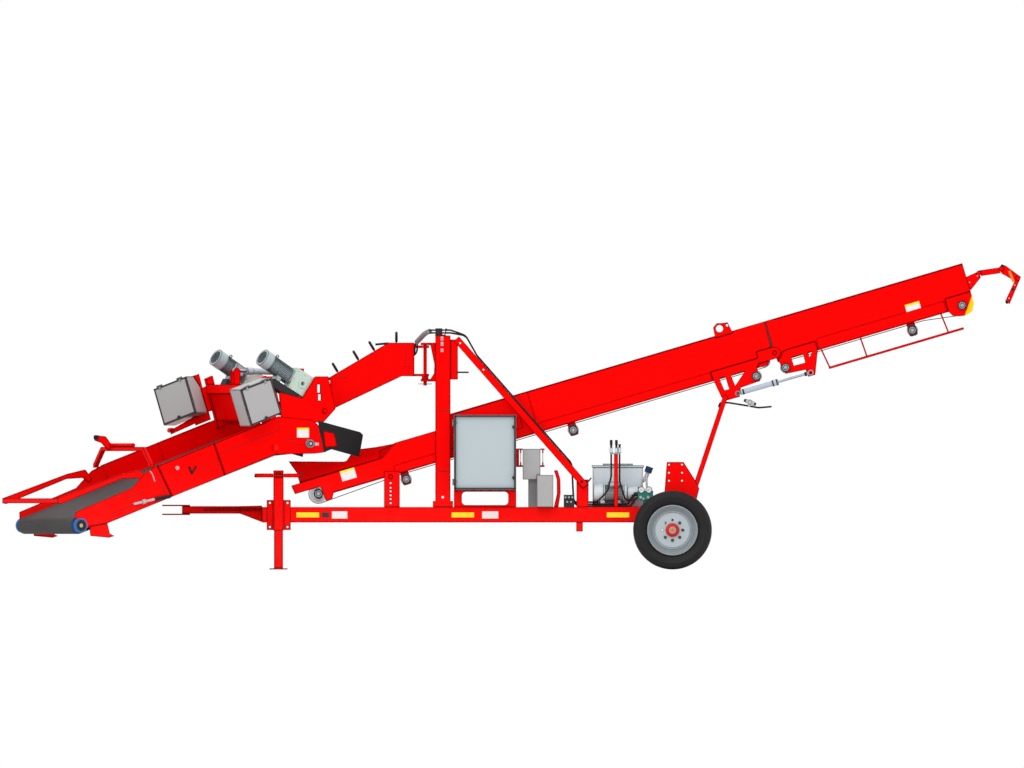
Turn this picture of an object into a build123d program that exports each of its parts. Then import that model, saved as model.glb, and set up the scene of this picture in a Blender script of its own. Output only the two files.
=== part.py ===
import os
from math import atan2, cos, degrees, hypot, radians, sin, tan

from build123d import *

os.makedirs("parts", exist_ok=True)

# Driving dimensions in millimetres and degrees
# The origin is on the ground under the middle of the axle. +X points to the discharge end,
# -Y to the side with the cabinet, +Z up
seat = 0.3                    # gap between pieces that are bolted or pressed together
pin_gap = 0.1                 # radial gap between a pin and its bore

# Discharge conveyor: its line starts at the tail pulley and climbs towards +X
tail_x = -3541
tail_z = 757
climb = 16.4
belt_half_width = 540
belt_thickness = 8
side_thickness = 6
side_inner_y = belt_half_width + 20
side_outer_y = side_inner_y + side_thickness
side_bottom_n = -35
side_top_n = 395
side_low_top_n = 274
fold_t = 4775
fold_n = 65
head_end_t = 6828
head_pulley_t = 6707
head_pulley_n = -10
pulley_radius = 92

# Fold cylinders: their base pin sits behind the fold and the rod's eye ahead of it
base_reach = 468
rod_eye_reach = 289.5
base_t = fold_t - base_reach
base_n = -220
rod_eye_t = fold_t + rod_eye_reach
rod_eye_n = -228

# Chassis
rail_height = 155
rail_width = 76
rail_centre_y = side_outer_y + 16 + rail_width / 2
rail_bottom_z = 470
rail_front_x = -4105
rail_rear_x = 260
rail_wall = 8
rail_top_z = rail_bottom_z + rail_height
rail_outer_y = rail_centre_y + rail_width / 2
rail_inner_y = rail_centre_y - rail_width / 2

# Wheels and axle
tyre_radius = 394
tyre_width = 280
tyre_centre_y = rail_outer_y + 212
rim_radius = 252
rim_width = 232
hub_radius = 76
stud_circle_radius = 101.5
stud_hole_radius = 9
stud_count = 8
axle_size = 90
spindle_radius = 30

# Intake boom: it hangs from the arm's tip and is swung towards -Y
swivel_x = -3591
boom_yaw = 32
boom_outer_b = 530
boom_side_thickness = 6
boom_inner_b = boom_outer_b - boom_side_thickness
boom_belt_half_width = 500
nose_s = 3088
nose_z = 440
nose_radius = 77
bend_s = 790
bend_z = 1219
boom_head_s = 382
boom_head_z = 1259
boom_head_radius = 79
pivot_s = 198
pivot_z = 1585
pivot_pin_radius = 25

# Arm and mast
mast_x = -2296
mast_size = 152
mast_top_z = 2340
arm_hinge_x = -2474
arm_hinge_radius = 18
arm_width = 152
swivel_pin_radius = 20


def elevation(y):
    """Side elevation plane at y: sketch x is X, sketch y is Z, the normal is -Y."""
    return Plane(origin=(0, y, 0), x_dir=(1, 0, 0), z_dir=(0, -1, 0))


def slope(y):
    """Plane along the discharge conveyor at y: sketch x climbs it, sketch y is square to it."""
    run = (cos(radians(climb)), 0, sin(radians(climb)))
    return Plane(origin=(tail_x, y, tail_z), x_dir=run, z_dir=(0, -1, 0))


boom_forward = (-cos(radians(boom_yaw)), -sin(radians(boom_yaw)), 0)
boom_near = (sin(radians(boom_yaw)), -cos(radians(boom_yaw)), 0)
boom_far = (-boom_near[0], -boom_near[1], 0)
# Local x runs forward to the nose, local y to the near side, local z up
boom_frame = Plane(origin=(swivel_x, 0, 0), x_dir=boom_forward, z_dir=(0, 0, 1))
boom_centre_plane = Plane(origin=(swivel_x, 0, 0), x_dir=boom_forward, z_dir=boom_far)


def boom_side(b):
    """Plane along the boom at b to its near side: sketch x is forward, sketch y is Z."""
    return boom_centre_plane.offset(-b)


def on_slope(t, n):
    """X and Z of a point t along the discharge conveyor and n square to it."""
    a = radians(climb)
    return tail_x + t * cos(a) - n * sin(a), tail_z + t * sin(a) + n * cos(a)


def write(name, part):
    part.label = name
    export_step(part, f"parts/{name}.step")


# Chassis rails: two long box sections, open at both ends
with BuildPart() as chassis_rails:
    with BuildSketch(Plane.YZ.offset(rail_front_x)):
        with Locations((rail_centre_y, rail_bottom_z + rail_height / 2)):
            RectangleRounded(rail_width, rail_height, 12)
            RectangleRounded(rail_width - 2 * rail_wall, rail_height - 2 * rail_wall, 5,
                             mode=Mode.SUBTRACT)
    extrude(amount=rail_rear_x - rail_front_x)
    mirror(about=Plane.XZ)
write("chassis_rails", chassis_rails.part)

# Cross members between the rails
cross_width = 76
cross_height = 120
cross_places = (-4067, -3000, -2296, -1250, -500, 200)
tray_z = rail_bottom_z + rail_height / 2 + cross_height / 2
with BuildPart() as cross_members:
    for x in cross_places:
        with Locations((x, 0, rail_bottom_z + rail_height / 2)):
            Box(cross_width, 2 * rail_inner_y, cross_height)
    # stub under the near rail
    with Locations((-930, -rail_centre_y, rail_bottom_z - 45)):
        Box(66, 60, 90)
    with Locations((-930, -rail_inner_y + 3, rail_bottom_z - 10)):
        Box(66, 70, 20)
    # tray under the power pack
    with Locations((-660, -330, tray_z + 7.5)):
        Box(1000, 500, 16 - seat)
write("cross_members", cross_members.part)

# Drawbar: a square tongue with a clevis, and plates that spread it over the front cross member
tongue_size = 75
tongue_front_x = -4905
tongue_centre_z = 596
tongue_rear_x = rail_front_x
spread_plate_y = 50
clevis_front_x = -5103
clevis_plate = 14
hitch_x = -5045
hitch_radius = 17
with BuildPart() as drawbar:
    with BuildSketch(Plane.YZ.offset(tongue_front_x)):
        with Locations((0, tongue_centre_z)):
            RectangleRounded(tongue_size, tongue_size, 8)
    extrude(amount=tongue_rear_x - tongue_front_x)
    for side in (-1, 1):
        with BuildSketch(elevation(side * spread_plate_y + 5)):
            Polygon((-4325, tongue_centre_z - 38), (-4105, rail_bottom_z + 4),
                    (-4105, rail_top_z + 14), (-4200, rail_top_z + 12),
                    (-4325, tongue_centre_z + 38), align=None)
        extrude(amount=10)
    # gussets that spread the tongue sideways
    with BuildSketch(Plane.XY.offset(tongue_centre_z - 6)):
        Polygon((-4700, -30), (tongue_rear_x, -420), (tongue_rear_x, 420), (-4700, 30), align=None)
    extrude(amount=12)
    for z in (tongue_centre_z + tongue_size / 2, tongue_centre_z - tongue_size / 2 - clevis_plate):
        with BuildSketch(Plane.XY.offset(z)):
            with Locations(((clevis_front_x + tongue_front_x + 80) / 2, 0)):
                Rectangle(tongue_front_x + 80 - clevis_front_x, 90)
            with Locations((hitch_x, 0)):
                Circle(hitch_radius, mode=Mode.SUBTRACT)
        extrude(amount=clevis_plate)
write("drawbar", drawbar.part)

# Axle: a square beam under the rails with saddle blocks and round spindles
axle_half = rail_outer_y + 32
spindle_end_y = tyre_centre_y + 50
with BuildPart() as axle:
    with Locations((0, 0, tyre_radius)):
        Box(axle_size, 2 * axle_half, axle_size)
    for side in (-1, 1):
        block_bottom = tyre_radius + axle_size / 2
        with Locations((0, side * rail_centre_y, (block_bottom + rail_bottom_z) / 2)):
            Box(150, rail_width, rail_bottom_z - block_bottom)
    with BuildSketch(elevation(spindle_end_y)):
        with Locations((0, tyre_radius)):
            Circle(spindle_radius)
    extrude(amount=2 * spindle_end_y)
write("axle", axle.part)

# Wheels: tyre, dished rim and hub on each side
tyre_inner = rim_radius + seat
groove_depth = 9
groove_half = 6
groove_places = (-78, -26, 26, 78)
tyre_profile = (
    (tyre_inner, -98), (tyre_inner + 40, -126), (tyre_inner + 80, -tyre_width / 2),
    (tyre_radius - 26, -tyre_width / 2 + 8), (tyre_radius - 6, -tyre_width / 2 + 34),
    (tyre_radius, 0), (tyre_radius - 6, tyre_width / 2 - 34), (tyre_radius - 26, tyre_width / 2 - 8),
    (tyre_inner + 80, tyre_width / 2), (tyre_inner + 40, 126), (tyre_inner, 98),
)
rim_disc_offset = 55
for side_name, side in (("near", -1), ("far", 1)):
    wheel_plane = Plane(origin=(0, side * tyre_centre_y, tyre_radius), x_dir=(0, 0, 1),
                        z_dir=(1, 0, 0))
    turn_axis = Axis((0, 0, tyre_radius), (0, 1, 0))
    out = -side  # the sketch's y runs towards -Y
    with BuildPart() as tyre:
        with BuildSketch(wheel_plane):
            Polygon(*tyre_profile, align=None)
            for y in groove_places:
                with Locations((tyre_radius - groove_depth / 2, y)):
                    Rectangle(groove_depth + 6, 2 * groove_half, mode=Mode.SUBTRACT)
        revolve(axis=turn_axis)
    write(f"tyre_{side_name}", tyre.part)

    with BuildPart() as rim:
        with BuildSketch(wheel_plane):
            Polygon((rim_radius, -rim_width / 2), (rim_radius, rim_width / 2),
                    (rim_radius - 9, rim_width / 2), (rim_radius - 40, 60),
                    (rim_radius - 40, -60), (rim_radius - 9, -rim_width / 2), align=None)
            Polygon((rim_radius - 9, -rim_width / 2 - 1), (rim_radius - 49, -62),
                    (rim_radius - 49, 62), (rim_radius - 9, rim_width / 2 + 1),
                    (0, rim_width / 2 + 1), (0, -rim_width / 2 - 1), align=None,
                    mode=Mode.SUBTRACT)
        revolve(axis=turn_axis)
        with BuildSketch(Plane(origin=(0, side * (tyre_centre_y + rim_disc_offset), tyre_radius),
                               z_dir=(0, -side, 0))):
            Circle(rim_radius - 38)
            Circle(hub_radius - 12, mode=Mode.SUBTRACT)
            with PolarLocations(stud_circle_radius, stud_count):
                Circle(stud_hole_radius, mode=Mode.SUBTRACT)
        extrude(amount=10)
        # pressed ring round the disc
        with BuildSketch(Plane(origin=(0, side * (tyre_centre_y + rim_disc_offset), tyre_radius),
                               z_dir=(0, side, 0))):
            Circle(rim_radius - 60)
            Circle(rim_radius - 74, mode=Mode.SUBTRACT)
        extrude(amount=5)
    write(f"rim_{side_name}", rim.part)

    with BuildPart() as hub:
        with BuildSketch(wheel_plane):
            Polygon((spindle_radius + pin_gap, out * (rim_disc_offset - 100)),
                    (hub_radius, out * (rim_disc_offset - 100)),
                    (hub_radius, out * (rim_disc_offset - 10 - seat)),
                    (hub_radius - 12 - seat, out * (rim_disc_offset - 10 - seat)),
                    (hub_radius - 12 - seat, out * (rim_disc_offset + 25)),
                    (40, out * (rim_disc_offset + 45)), (0, out * (rim_disc_offset + 45)),
                    (0, out * 51), (spindle_radius + pin_gap, out * 51), align=None)
        revolve(axis=turn_axis)
    write(f"hub_{side_name}", hub.part)

# Axle towers: plates outside the rails with a cross tube between them
tower_tube_z = 1033
tower_tube = 70
tower_plate = 10
with BuildPart() as axle_towers:
    for side in (-1, 1):
        y = side * rail_outer_y if side == -1 else rail_outer_y + tower_plate
        with BuildSketch(elevation(y)):
            Polygon((-57, 1075), (111, 1075), (219, 907), (268, 810), (241, 700),
                    (241, rail_bottom_z), (-110, rail_bottom_z), (-79, 795), align=None)
            for x in (-35, 95):
                for z in (1048, 967, 888):
                    with Locations((x, z)):
                        Circle(9, mode=Mode.SUBTRACT)
        extrude(amount=tower_plate)
    with Locations((30, 0, tower_tube_z)):
        Box(tower_tube, 2 * rail_outer_y + 2 * tower_plate, tower_tube)
write("axle_towers", axle_towers.part)

# Support legs from the towers up to the brackets at the fold
leg_width = 50
leg_plane_y = side_outer_y + 20
leg_depth = 40
leg_foot = (205, 755)
leg_top_t = base_t - 131
leg_top_n = base_n - 1
leg_top = on_slope(leg_top_t, leg_top_n)
leg_length = hypot(leg_top[0] - leg_foot[0], leg_top[1] - leg_foot[1])
leg_lean = degrees(atan2(leg_top[1] - leg_foot[1], leg_top[0] - leg_foot[0]))
with BuildPart() as support_legs:
    with BuildSketch(elevation(-leg_plane_y)):
        with Locations(((leg_foot[0] + leg_top[0]) / 2, (leg_foot[1] + leg_top[1]) / 2)):
            SlotCenterToCenter(leg_length, leg_width, rotation=leg_lean)
    extrude(amount=leg_depth)
    with BuildSketch(elevation(-leg_plane_y - leg_depth)):
        with Locations(leg_foot):
            Circle(18)
    extrude(amount=rail_outer_y - leg_plane_y - leg_depth)
    with BuildSketch(elevation(-side_outer_y - 12 - seat)):
        with Locations(leg_top):
            Circle(16)
    extrude(amount=leg_plane_y - side_outer_y - 12 - seat)
    mirror(about=Plane.XZ)
write("support_legs", support_legs.part)

# Front posts that carry the low end of the discharge conveyor
post_width = 157
post_centre_x = -2806
post_top_z = 985
post_holes = (864, 817, 782, 742, 704, 664)
with BuildPart() as front_posts:
    with BuildSketch(elevation(-side_outer_y - seat - 16)):
        with Locations((post_centre_x, (rail_top_z + post_top_z) / 2)):
            Rectangle(post_width, post_top_z - rail_top_z)
        for z in post_holes:
            with Locations((post_centre_x - 13, z)):
                Circle(9, mode=Mode.SUBTRACT)
    extrude(amount=rail_outer_y - side_outer_y - seat - 16)
    with BuildSketch(elevation(-side_outer_y - seat)):
        with Locations((post_centre_x - 13, 929)):
            Circle(20)
    extrude(amount=rail_outer_y - side_outer_y + 12)
    mirror(about=Plane.XZ)
write("front_posts", front_posts.part)

# Mast: a portal over the conveyor with the arm's hinge bracket on its beam
beam_height = 152
hinge_ear = 25
ear_radius = 45
lower_ear_z = 1880
upper_ear_z = 2243
bracket_front_x = arm_hinge_x + ear_radius + 8
with BuildPart() as mast:
    for side in (-1, 1):
        with Locations((mast_x, side * rail_centre_y, (rail_top_z + mast_top_z) / 2)):
            Box(mast_size, rail_width, mast_top_z - rail_top_z)
        with Locations((mast_x, side * rail_centre_y, rail_top_z + 30)):
            Box(mast_size + 50, rail_width, 60)
        with Locations((mast_x + mast_size / 2 + 37, side * rail_centre_y, 2100)):
            Box(74, 12, 400)
    with Locations((mast_x, 0, mast_top_z - beam_height / 2)):
        Box(mast_size, 2 * rail_inner_y, beam_height)
    # the posts are open tubes under a cap
    for side in (-1, 1):
        with Locations((mast_x, side * rail_centre_y, (rail_top_z + mast_top_z - 12) / 2)):
            Box(mast_size - 16, rail_width - 16, mast_top_z - 12 - rail_top_z, mode=Mode.SUBTRACT)
    # plate on the near post that the valve block stands on
    with Locations((mast_x - 26, -rail_centre_y, mast_top_z + 4)):
        Box(110, 60, 8)
    for y in (-40, 52):
        with BuildSketch(elevation(y)):
            Polygon((mast_x - mast_size / 2 + 2, upper_ear_z + hinge_ear),
                    (bracket_front_x, upper_ear_z + hinge_ear), (bracket_front_x, upper_ear_z),
                    (mast_x - 85, 2050), (mast_x - 90, 1960),
                    (bracket_front_x, lower_ear_z + hinge_ear), (bracket_front_x, lower_ear_z),
                    (mast_x + 40, lower_ear_z), (mast_x + 40, mast_top_z - beam_height + 2),
                    align=None)
        extrude(amount=12)
    for z in (lower_ear_z, upper_ear_z):
        with BuildSketch(Plane.XY.offset(z)):
            with Locations(((arm_hinge_x + mast_x - mast_size / 2) / 2, 0)):
                Rectangle(mast_x - mast_size / 2 - arm_hinge_x, 2 * ear_radius)
            with Locations((arm_hinge_x, 0)):
                Circle(ear_radius)
        extrude(amount=hinge_ear)
    with BuildSketch(Plane.XY.offset(lower_ear_z - 40)):
        with Locations((arm_hinge_x, 0)):
            Circle(arm_hinge_radius)
    extrude(amount=upper_ear_z - lower_ear_z + 40)
    # washers that the arm's lower ear rests on
    with BuildSketch(Plane.XY.offset(lower_ear_z + hinge_ear)):
        with Locations((arm_hinge_x, 0)):
            Circle(34)
    extrude(amount=27 - seat)
write("mast", mast.part)

# Mast braces down to short posts on the rails
brace_width = 71
brace_top = (-2162, 2308)
brace_foot = (-868, 833)
brace_post_x = -900
coupler_x = -565
coupler_y = -rail_centre_y - 20
coupler_z = 1153
brace_post_width = 121
brace_length = hypot(brace_foot[0] - brace_top[0], brace_foot[1] - brace_top[1])
brace_lean = degrees(atan2(brace_foot[1] - brace_top[1], brace_foot[0] - brace_top[0]))
with BuildPart() as mast_braces:
    with BuildSketch(elevation(-rail_centre_y - 6 - seat)):
        with Locations(((brace_top[0] + brace_foot[0]) / 2, (brace_top[1] + brace_foot[1]) / 2)):
            Rectangle(brace_length, brace_width, rotation=brace_lean)
            for along in (0.03, 0.21, 0.97):
                with Locations(((brace_foot[0] - brace_top[0]) * (along - 0.5),
                                (brace_foot[1] - brace_top[1]) * (along - 0.5))):
                    Circle(9, mode=Mode.SUBTRACT)
    extrude(amount=38)
    with BuildSketch(elevation(-rail_inner_y)):
        with Locations((brace_post_x, (rail_top_z + 900) / 2)):
            Rectangle(brace_post_width, 900 - rail_top_z)
    extrude(amount=rail_width / 2 + 6)
    mirror(about=Plane.XZ)
    # curved stay beside the small cabinet
    with BuildSketch(elevation(-rail_centre_y + 6)):
        Polygon((-1186, rail_top_z), (-1140, rail_top_z), (-1119, 760), (-1121, 900), (-1148, 992),
                (-1186, 992), (-1158, 900), (-1156, 760), align=None)
    extrude(amount=12)
    # tube that holds the hose couplers up
    with Locations((coupler_x, coupler_y, (rail_top_z + coupler_z) / 2)):
        Box(40, 32, coupler_z - rail_top_z)
write("mast_braces", mast_braces.part)

# Discharge conveyor, fixed section: side plates with folded lips
lip = 14
seam_gap = 6
fold_plate_radius = 60
wedge_t = 96
low_front = (
    (-239, 155), (-226, 62), (40, 62), (54, -92), (115, -92), (150, side_bottom_n),
)
fixed_end = (
    (fold_t - wedge_t, side_bottom_n), (fold_t - fold_plate_radius - seam_gap, 20),
    (fold_t - fold_plate_radius - seam_gap, 100), (fold_t - 20, 130), (fold_t - 8, side_top_n),
)
near_top = ((1420, side_top_n), (1420, side_low_top_n), (884, side_low_top_n), (724, 171),
            (700, 163))
far_top = ((1420, side_top_n), (1420, side_low_top_n), (884, side_low_top_n), (700, 240),
           (690, 163))
bracket_outline = (
    (base_t - 196, -34), (base_t - 169, base_n + 8), (base_t - 139, base_n - 38),
    (base_t + 9, base_n - 39), (base_t + 45, base_n + 45), (fold_t - 218, base_n + 55),
    (fold_t - 209, -24), (fold_t - 135, 60), (base_t - 202, 60),
)
quad_hole = ((base_t - 135, -26), (base_t - 72, -28), (base_t - 72, -156), (base_t - 119, -153))
tri_hole = ((base_t - 14, -29), (base_t + 130, -29), (base_t - 3, -139))
lug_outline = ((4246, side_top_n - 20), (4255, 480), (4300, 512), (4350, 500), (4410, 490),
               (4430, side_top_n - 20))
bracket_thickness = 12
return_tab_t = (883, 2625)
doubler = 3
barrel_offset = 35
for side_name, side, top in (("near", -1, near_top), ("far", 1, far_top)):
    plate_y = -side_inner_y if side == -1 else side_outer_y
    bracket_y = -side_outer_y if side == -1 else side_outer_y + bracket_thickness
    lip_y = -side_outer_y if side == -1 else side_outer_y + lip
    with BuildPart() as conveyor_side:
        with BuildSketch(slope(plate_y)):
            Polygon(*low_front, *fixed_end, *top, align=None)
        extrude(amount=side_thickness)
        # folded lips along the top and bottom edges
        with BuildSketch(slope(lip_y)):
            Polygon((1420, side_top_n - side_thickness), (4225, side_top_n - side_thickness),
                    (4225, side_top_n), (1420, side_top_n), align=None)
            for t0, t1 in ((150, 690), (800, 4100)):
                Polygon((t0, side_bottom_n), (t1, side_bottom_n),
                        (t1, side_bottom_n + side_thickness), (t0, side_bottom_n + side_thickness),
                        align=None)
        extrude(amount=lip)
        # doubler strip along the lower edge and a splice plate
        with BuildSketch(slope(-side_outer_y if side == -1 else side_outer_y + doubler)):
            Polygon((800, side_bottom_n + 6), (4095, side_bottom_n + 6), (4095, 56), (800, 56),
                    align=None)
            Polygon((2150, 56), (2290, 56), (2290, side_top_n - 6), (2150, side_top_n - 6),
                    align=None)
        extrude(amount=doubler)
        # tabs that carry the return rollers
        with BuildSketch(slope(plate_y)):
            for t in return_tab_t:
                with Locations((t, side_bottom_n - 60)):
                    Rectangle(84, 132)
        extrude(amount=side_thickness)
        # bracket for the fold cylinder and the support leg
        with BuildSketch(slope(bracket_y)):
            Polygon(*bracket_outline, align=None)
            Polygon(*quad_hole, align=None, mode=Mode.SUBTRACT)
            Polygon(*tri_hole, align=None, mode=Mode.SUBTRACT)
        extrude(amount=bracket_thickness)
        # lifting lug on the top edge
        with BuildSketch(slope(bracket_y)):
            Polygon(*lug_outline, align=None)
            with Locations((4314, 452)):
                Circle(36, mode=Mode.SUBTRACT)
            with Locations((4396, 462)):
                Circle(12, mode=Mode.SUBTRACT)
        extrude(amount=bracket_thickness)
        # hinge plate reaching to the fold pin
        with BuildSketch(slope(bracket_y)):
            with BuildLine():
                Polyline((4600, 5), (4600, 125), (fold_t, fold_n + fold_plate_radius))
                ThreePointArc((fold_t, fold_n + fold_plate_radius),
                              (fold_t + fold_plate_radius, fold_n),
                              (fold_t, fold_n - fold_plate_radius))
                Line((fold_t, fold_n - fold_plate_radius), (4600, 5))
            make_face()
            with Locations((fold_t, fold_n)):
                Circle(20 + pin_gap, mode=Mode.SUBTRACT)
        extrude(amount=bracket_thickness)
        # base pin of the fold cylinder
        pin_y = -side_outer_y if side == -1 else side_outer_y + bracket_thickness + 2 * barrel_offset
        with BuildSketch(slope(pin_y)):
            with Locations((base_t, base_n)):
                Circle(14)
        extrude(amount=bracket_thickness + 2 * barrel_offset)
    write(f"conveyor_side_{side_name}", conveyor_side.part)

# Hopper wall on the far side, set out from the side plate
hopper_wall_y = side_outer_y + 58
with BuildPart() as hopper_wall:
    with BuildSketch(slope(hopper_wall_y + side_thickness)):
        Polygon((-150, 155), (-150, 262), (-195, 396), (330, 238), (360, 236), (440, 300),
                (525, 312), (685, 286), (884, 266), (884, 155), align=None)
    extrude(amount=side_thickness)
    with BuildSketch(slope(hopper_wall_y)):
        Polygon((-150, 155), (884, 155), (884, 155 + side_thickness), (-150, 155 + side_thickness),
                align=None)
    extrude(amount=hopper_wall_y - side_outer_y)
write("hopper_wall", hopper_wall.part)

# Bed under the carrying run of the belt, with cross channels
bed_n = 78
bed_half = side_inner_y - seat
with BuildPart() as conveyor_bed:
    with BuildSketch(slope(bed_half)):
        Polygon((150, bed_n), (4560, bed_n), (4560, bed_n + 5), (150, bed_n + 5), align=None)
        for t in (300, 1100, 1900, 2700, 3500, 4300):
            with Locations((t, bed_n - 20)):
                Rectangle(60, 42)
    extrude(amount=2 * bed_half)
write("conveyor_bed", conveyor_bed.part)

# Belt of the fixed section: a closed loop over the tail pulley and the fold roller
return_n = -51
fold_roller_radius = 66
fold_roller_n = return_n + belt_thickness + fold_roller_radius
fold_roller_t = 4640
belt_bend_t = 820
with BuildPart() as conveyor_belt:
    with BuildSketch(slope(belt_half_width)):
        with BuildSketch(mode=Mode.PRIVATE) as outer_loop:
            Circle(pulley_radius + belt_thickness)
            with Locations((belt_bend_t, fold_roller_n)):
                Circle(fold_roller_radius + belt_thickness)
            make_hull()
        with BuildSketch(mode=Mode.PRIVATE) as outer_run:
            with Locations((belt_bend_t, fold_roller_n), (fold_roller_t, fold_roller_n)):
                Circle(fold_roller_radius + belt_thickness)
            make_hull()
        with BuildSketch(mode=Mode.PRIVATE) as inner_loop:
            Circle(pulley_radius)
            with Locations((belt_bend_t, fold_roller_n)):
                Circle(fold_roller_radius)
            make_hull()
        with BuildSketch(mode=Mode.PRIVATE) as inner_run:
            with Locations((belt_bend_t, fold_roller_n), (fold_roller_t, fold_roller_n)):
                Circle(fold_roller_radius)
            make_hull()
        add(outer_loop.sketch)
        add(outer_run.sketch)
        add(inner_loop.sketch, mode=Mode.SUBTRACT)
        add(inner_run.sketch, mode=Mode.SUBTRACT)
    extrude(amount=2 * belt_half_width)
write("conveyor_belt", conveyor_belt.part)

# Tail pulley and return rollers of the fixed section, with their flange bearings
bearing_radius = 45
bearing_depth = 30
roller_radius = 57
roller_n = return_n - roller_radius
return_roller_t = (883, 2625, 4533)
roller_half = side_inner_y - 12
with BuildPart() as conveyor_rollers:
    with BuildSketch(slope(belt_half_width - 2)):
        Circle(pulley_radius - seat)
        with Locations((fold_roller_t, fold_roller_n)):
            Circle(fold_roller_radius - seat)
    extrude(amount=2 * (belt_half_width - 2))
    with BuildSketch(slope(side_inner_y - seat)):
        Circle(25)
        with Locations((fold_roller_t, fold_roller_n)):
            Circle(18)
        with Locations(*[(t, roller_n - seat) for t in return_tab_t]):
            Circle(18)
    extrude(amount=2 * (side_inner_y - seat))
    with BuildSketch(slope(side_outer_y - seat)):
        with Locations((return_roller_t[-1], roller_n - seat)):
            Circle(18)
    extrude(amount=2 * (side_outer_y - seat))
    with BuildSketch(slope(roller_half)):
        with Locations(*[(t, roller_n - seat) for t in return_roller_t]):
            Circle(roller_radius)
    extrude(amount=2 * roller_half)
write("conveyor_rollers", conveyor_rollers.part)

with BuildPart() as conveyor_bearings:
    for y in (-side_outer_y, side_outer_y + bearing_depth):
        with BuildSketch(slope(y)):
            for t, n in ((0, 0), (883, roller_n), (2625, roller_n)):
                with Locations((t, n)):
                    Circle(bearing_radius)
                    Rectangle(56, 112)
        extrude(amount=bearing_depth)
    # rings round the tail pulley's end
    for y in (-side_inner_y + 18, side_inner_y - seat):
        with BuildSketch(slope(y)):
            Circle(pulley_radius + 3)
            Circle(pulley_radius - 22, mode=Mode.SUBTRACT)
        extrude(amount=18 - seat)
    bracket_face = side_outer_y + bracket_thickness
    for y in (-bracket_face, bracket_face + bearing_depth):
        with BuildSketch(slope(y)):
            with Locations((4533, roller_n)):
                Circle(bearing_radius)
        extrude(amount=bearing_depth)
write("conveyor_bearings", conveyor_bearings.part)

# Discharge head: side plates that fold about the pin at the end of the fixed section
head_bracket = (
    (fold_t + 25, 40), (fold_t + 13, -28), (fold_t + 46, -169), (rod_eye_t - 40, rod_eye_n + 42),
    (rod_eye_t - 35, rod_eye_n - 33), (rod_eye_t + 38, rod_eye_n - 34), (rod_eye_t + 132, -34),
    (rod_eye_t + 132, 60), (fold_t + 125, 60),
)
window = ((fold_t + 146, -28), (rod_eye_t - 21, -32), (rod_eye_t - 25, -116), (fold_t + 148, -113))
notch = ((rod_eye_t + 33, -26), (rod_eye_t + 74, -28), (rod_eye_t + 34, -75))
head_tab_t = 6160
end_plate = (
    (6560, side_bottom_n), (6585, -80), (6640, -105), (6720, -118), (6790, -95), (6828, -20),
    (6828, 100), (6560, 100),
)
for side_name, side in (("near", -1), ("far", 1)):
    plate_y = -side_inner_y if side == -1 else side_outer_y
    bracket_y = -side_outer_y if side == -1 else side_outer_y + bracket_thickness
    lip_y = -side_outer_y if side == -1 else side_outer_y + lip
    with BuildPart() as head_side:
        with BuildSketch(slope(plate_y)):
            with BuildLine():
                Polyline((fold_t - 2, side_top_n), (fold_t - 2, 133),
                         (fold_t, fold_n + fold_plate_radius))
                ThreePointArc((fold_t, fold_n + fold_plate_radius),
                              (fold_t - fold_plate_radius, fold_n),
                              (fold_t, fold_n - fold_plate_radius))
                Polyline((fold_t, fold_n - fold_plate_radius), (fold_t + 3, side_bottom_n),
                         (6570, side_bottom_n), (head_end_t, 80), (head_end_t, side_top_n),
                         (fold_t - 2, side_top_n))
            make_face()
        extrude(amount=side_thickness)
        with BuildSketch(slope(lip_y)):
            Polygon((4860, side_top_n - side_thickness), (6820, side_top_n - side_thickness),
                    (6820, side_top_n), (4860, side_top_n), align=None)
            Polygon((5210, side_bottom_n), (6550, side_bottom_n),
                    (6550, side_bottom_n + side_thickness), (5210, side_bottom_n + side_thickness),
                    align=None)
        extrude(amount=lip)
        with BuildSketch(slope(plate_y)):
            with Locations((head_tab_t, side_bottom_n - 60)):
                Rectangle(84, 132)
        extrude(amount=side_thickness)
        # doubler strip along the lower edge
        with BuildSketch(slope(-side_outer_y if side == -1 else side_outer_y + doubler)):
            Polygon((5215, side_bottom_n + 6), (6540, side_bottom_n + 6), (6540, 82), (5215, 82),
                    align=None)
        extrude(amount=doubler)
        with BuildSketch(slope(bracket_y)):
            Polygon(*head_bracket, align=None)
            with Locations((fold_t, fold_n)):
                Circle(fold_plate_radius + 14, mode=Mode.SUBTRACT)
            Polygon(*window, align=None, mode=Mode.SUBTRACT)
            Polygon(*notch, align=None, mode=Mode.SUBTRACT)
        extrude(amount=bracket_thickness)
        with BuildSketch(slope(bracket_y)):
            Polygon(*end_plate, align=None)
        extrude(amount=bracket_thickness)
        # fold pin
        pin_y = -side_inner_y if side == -1 else side_outer_y + bracket_thickness + 10
        with BuildSketch(slope(pin_y)):
            with Locations((fold_t, fold_n)):
                Circle(20)
        extrude(amount=side_thickness + bracket_thickness + 10)
        # rod pin, thin enough for the eye to drift round it
        rod_pin_y = -side_outer_y if side == -1 else side_outer_y + bracket_thickness + 2 * barrel_offset
        with BuildSketch(slope(rod_pin_y)):
            with Locations((rod_eye_t, rod_eye_n)):
                Circle(7)
        extrude(amount=bracket_thickness + 2 * barrel_offset)
    write(f"head_side_{side_name}", head_side.part)

with BuildPart() as head_bed:
    with BuildSketch(slope(bed_half)):
        Polygon((4920, bed_n), (6600, bed_n), (6600, bed_n + 5), (4920, bed_n + 5), align=None)
        for t in (5050, 5900, 6500):
            with Locations((t, bed_n - 20)):
                Rectangle(60, 42)
    extrude(amount=2 * bed_half)
write("head_bed", head_bed.part)

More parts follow.
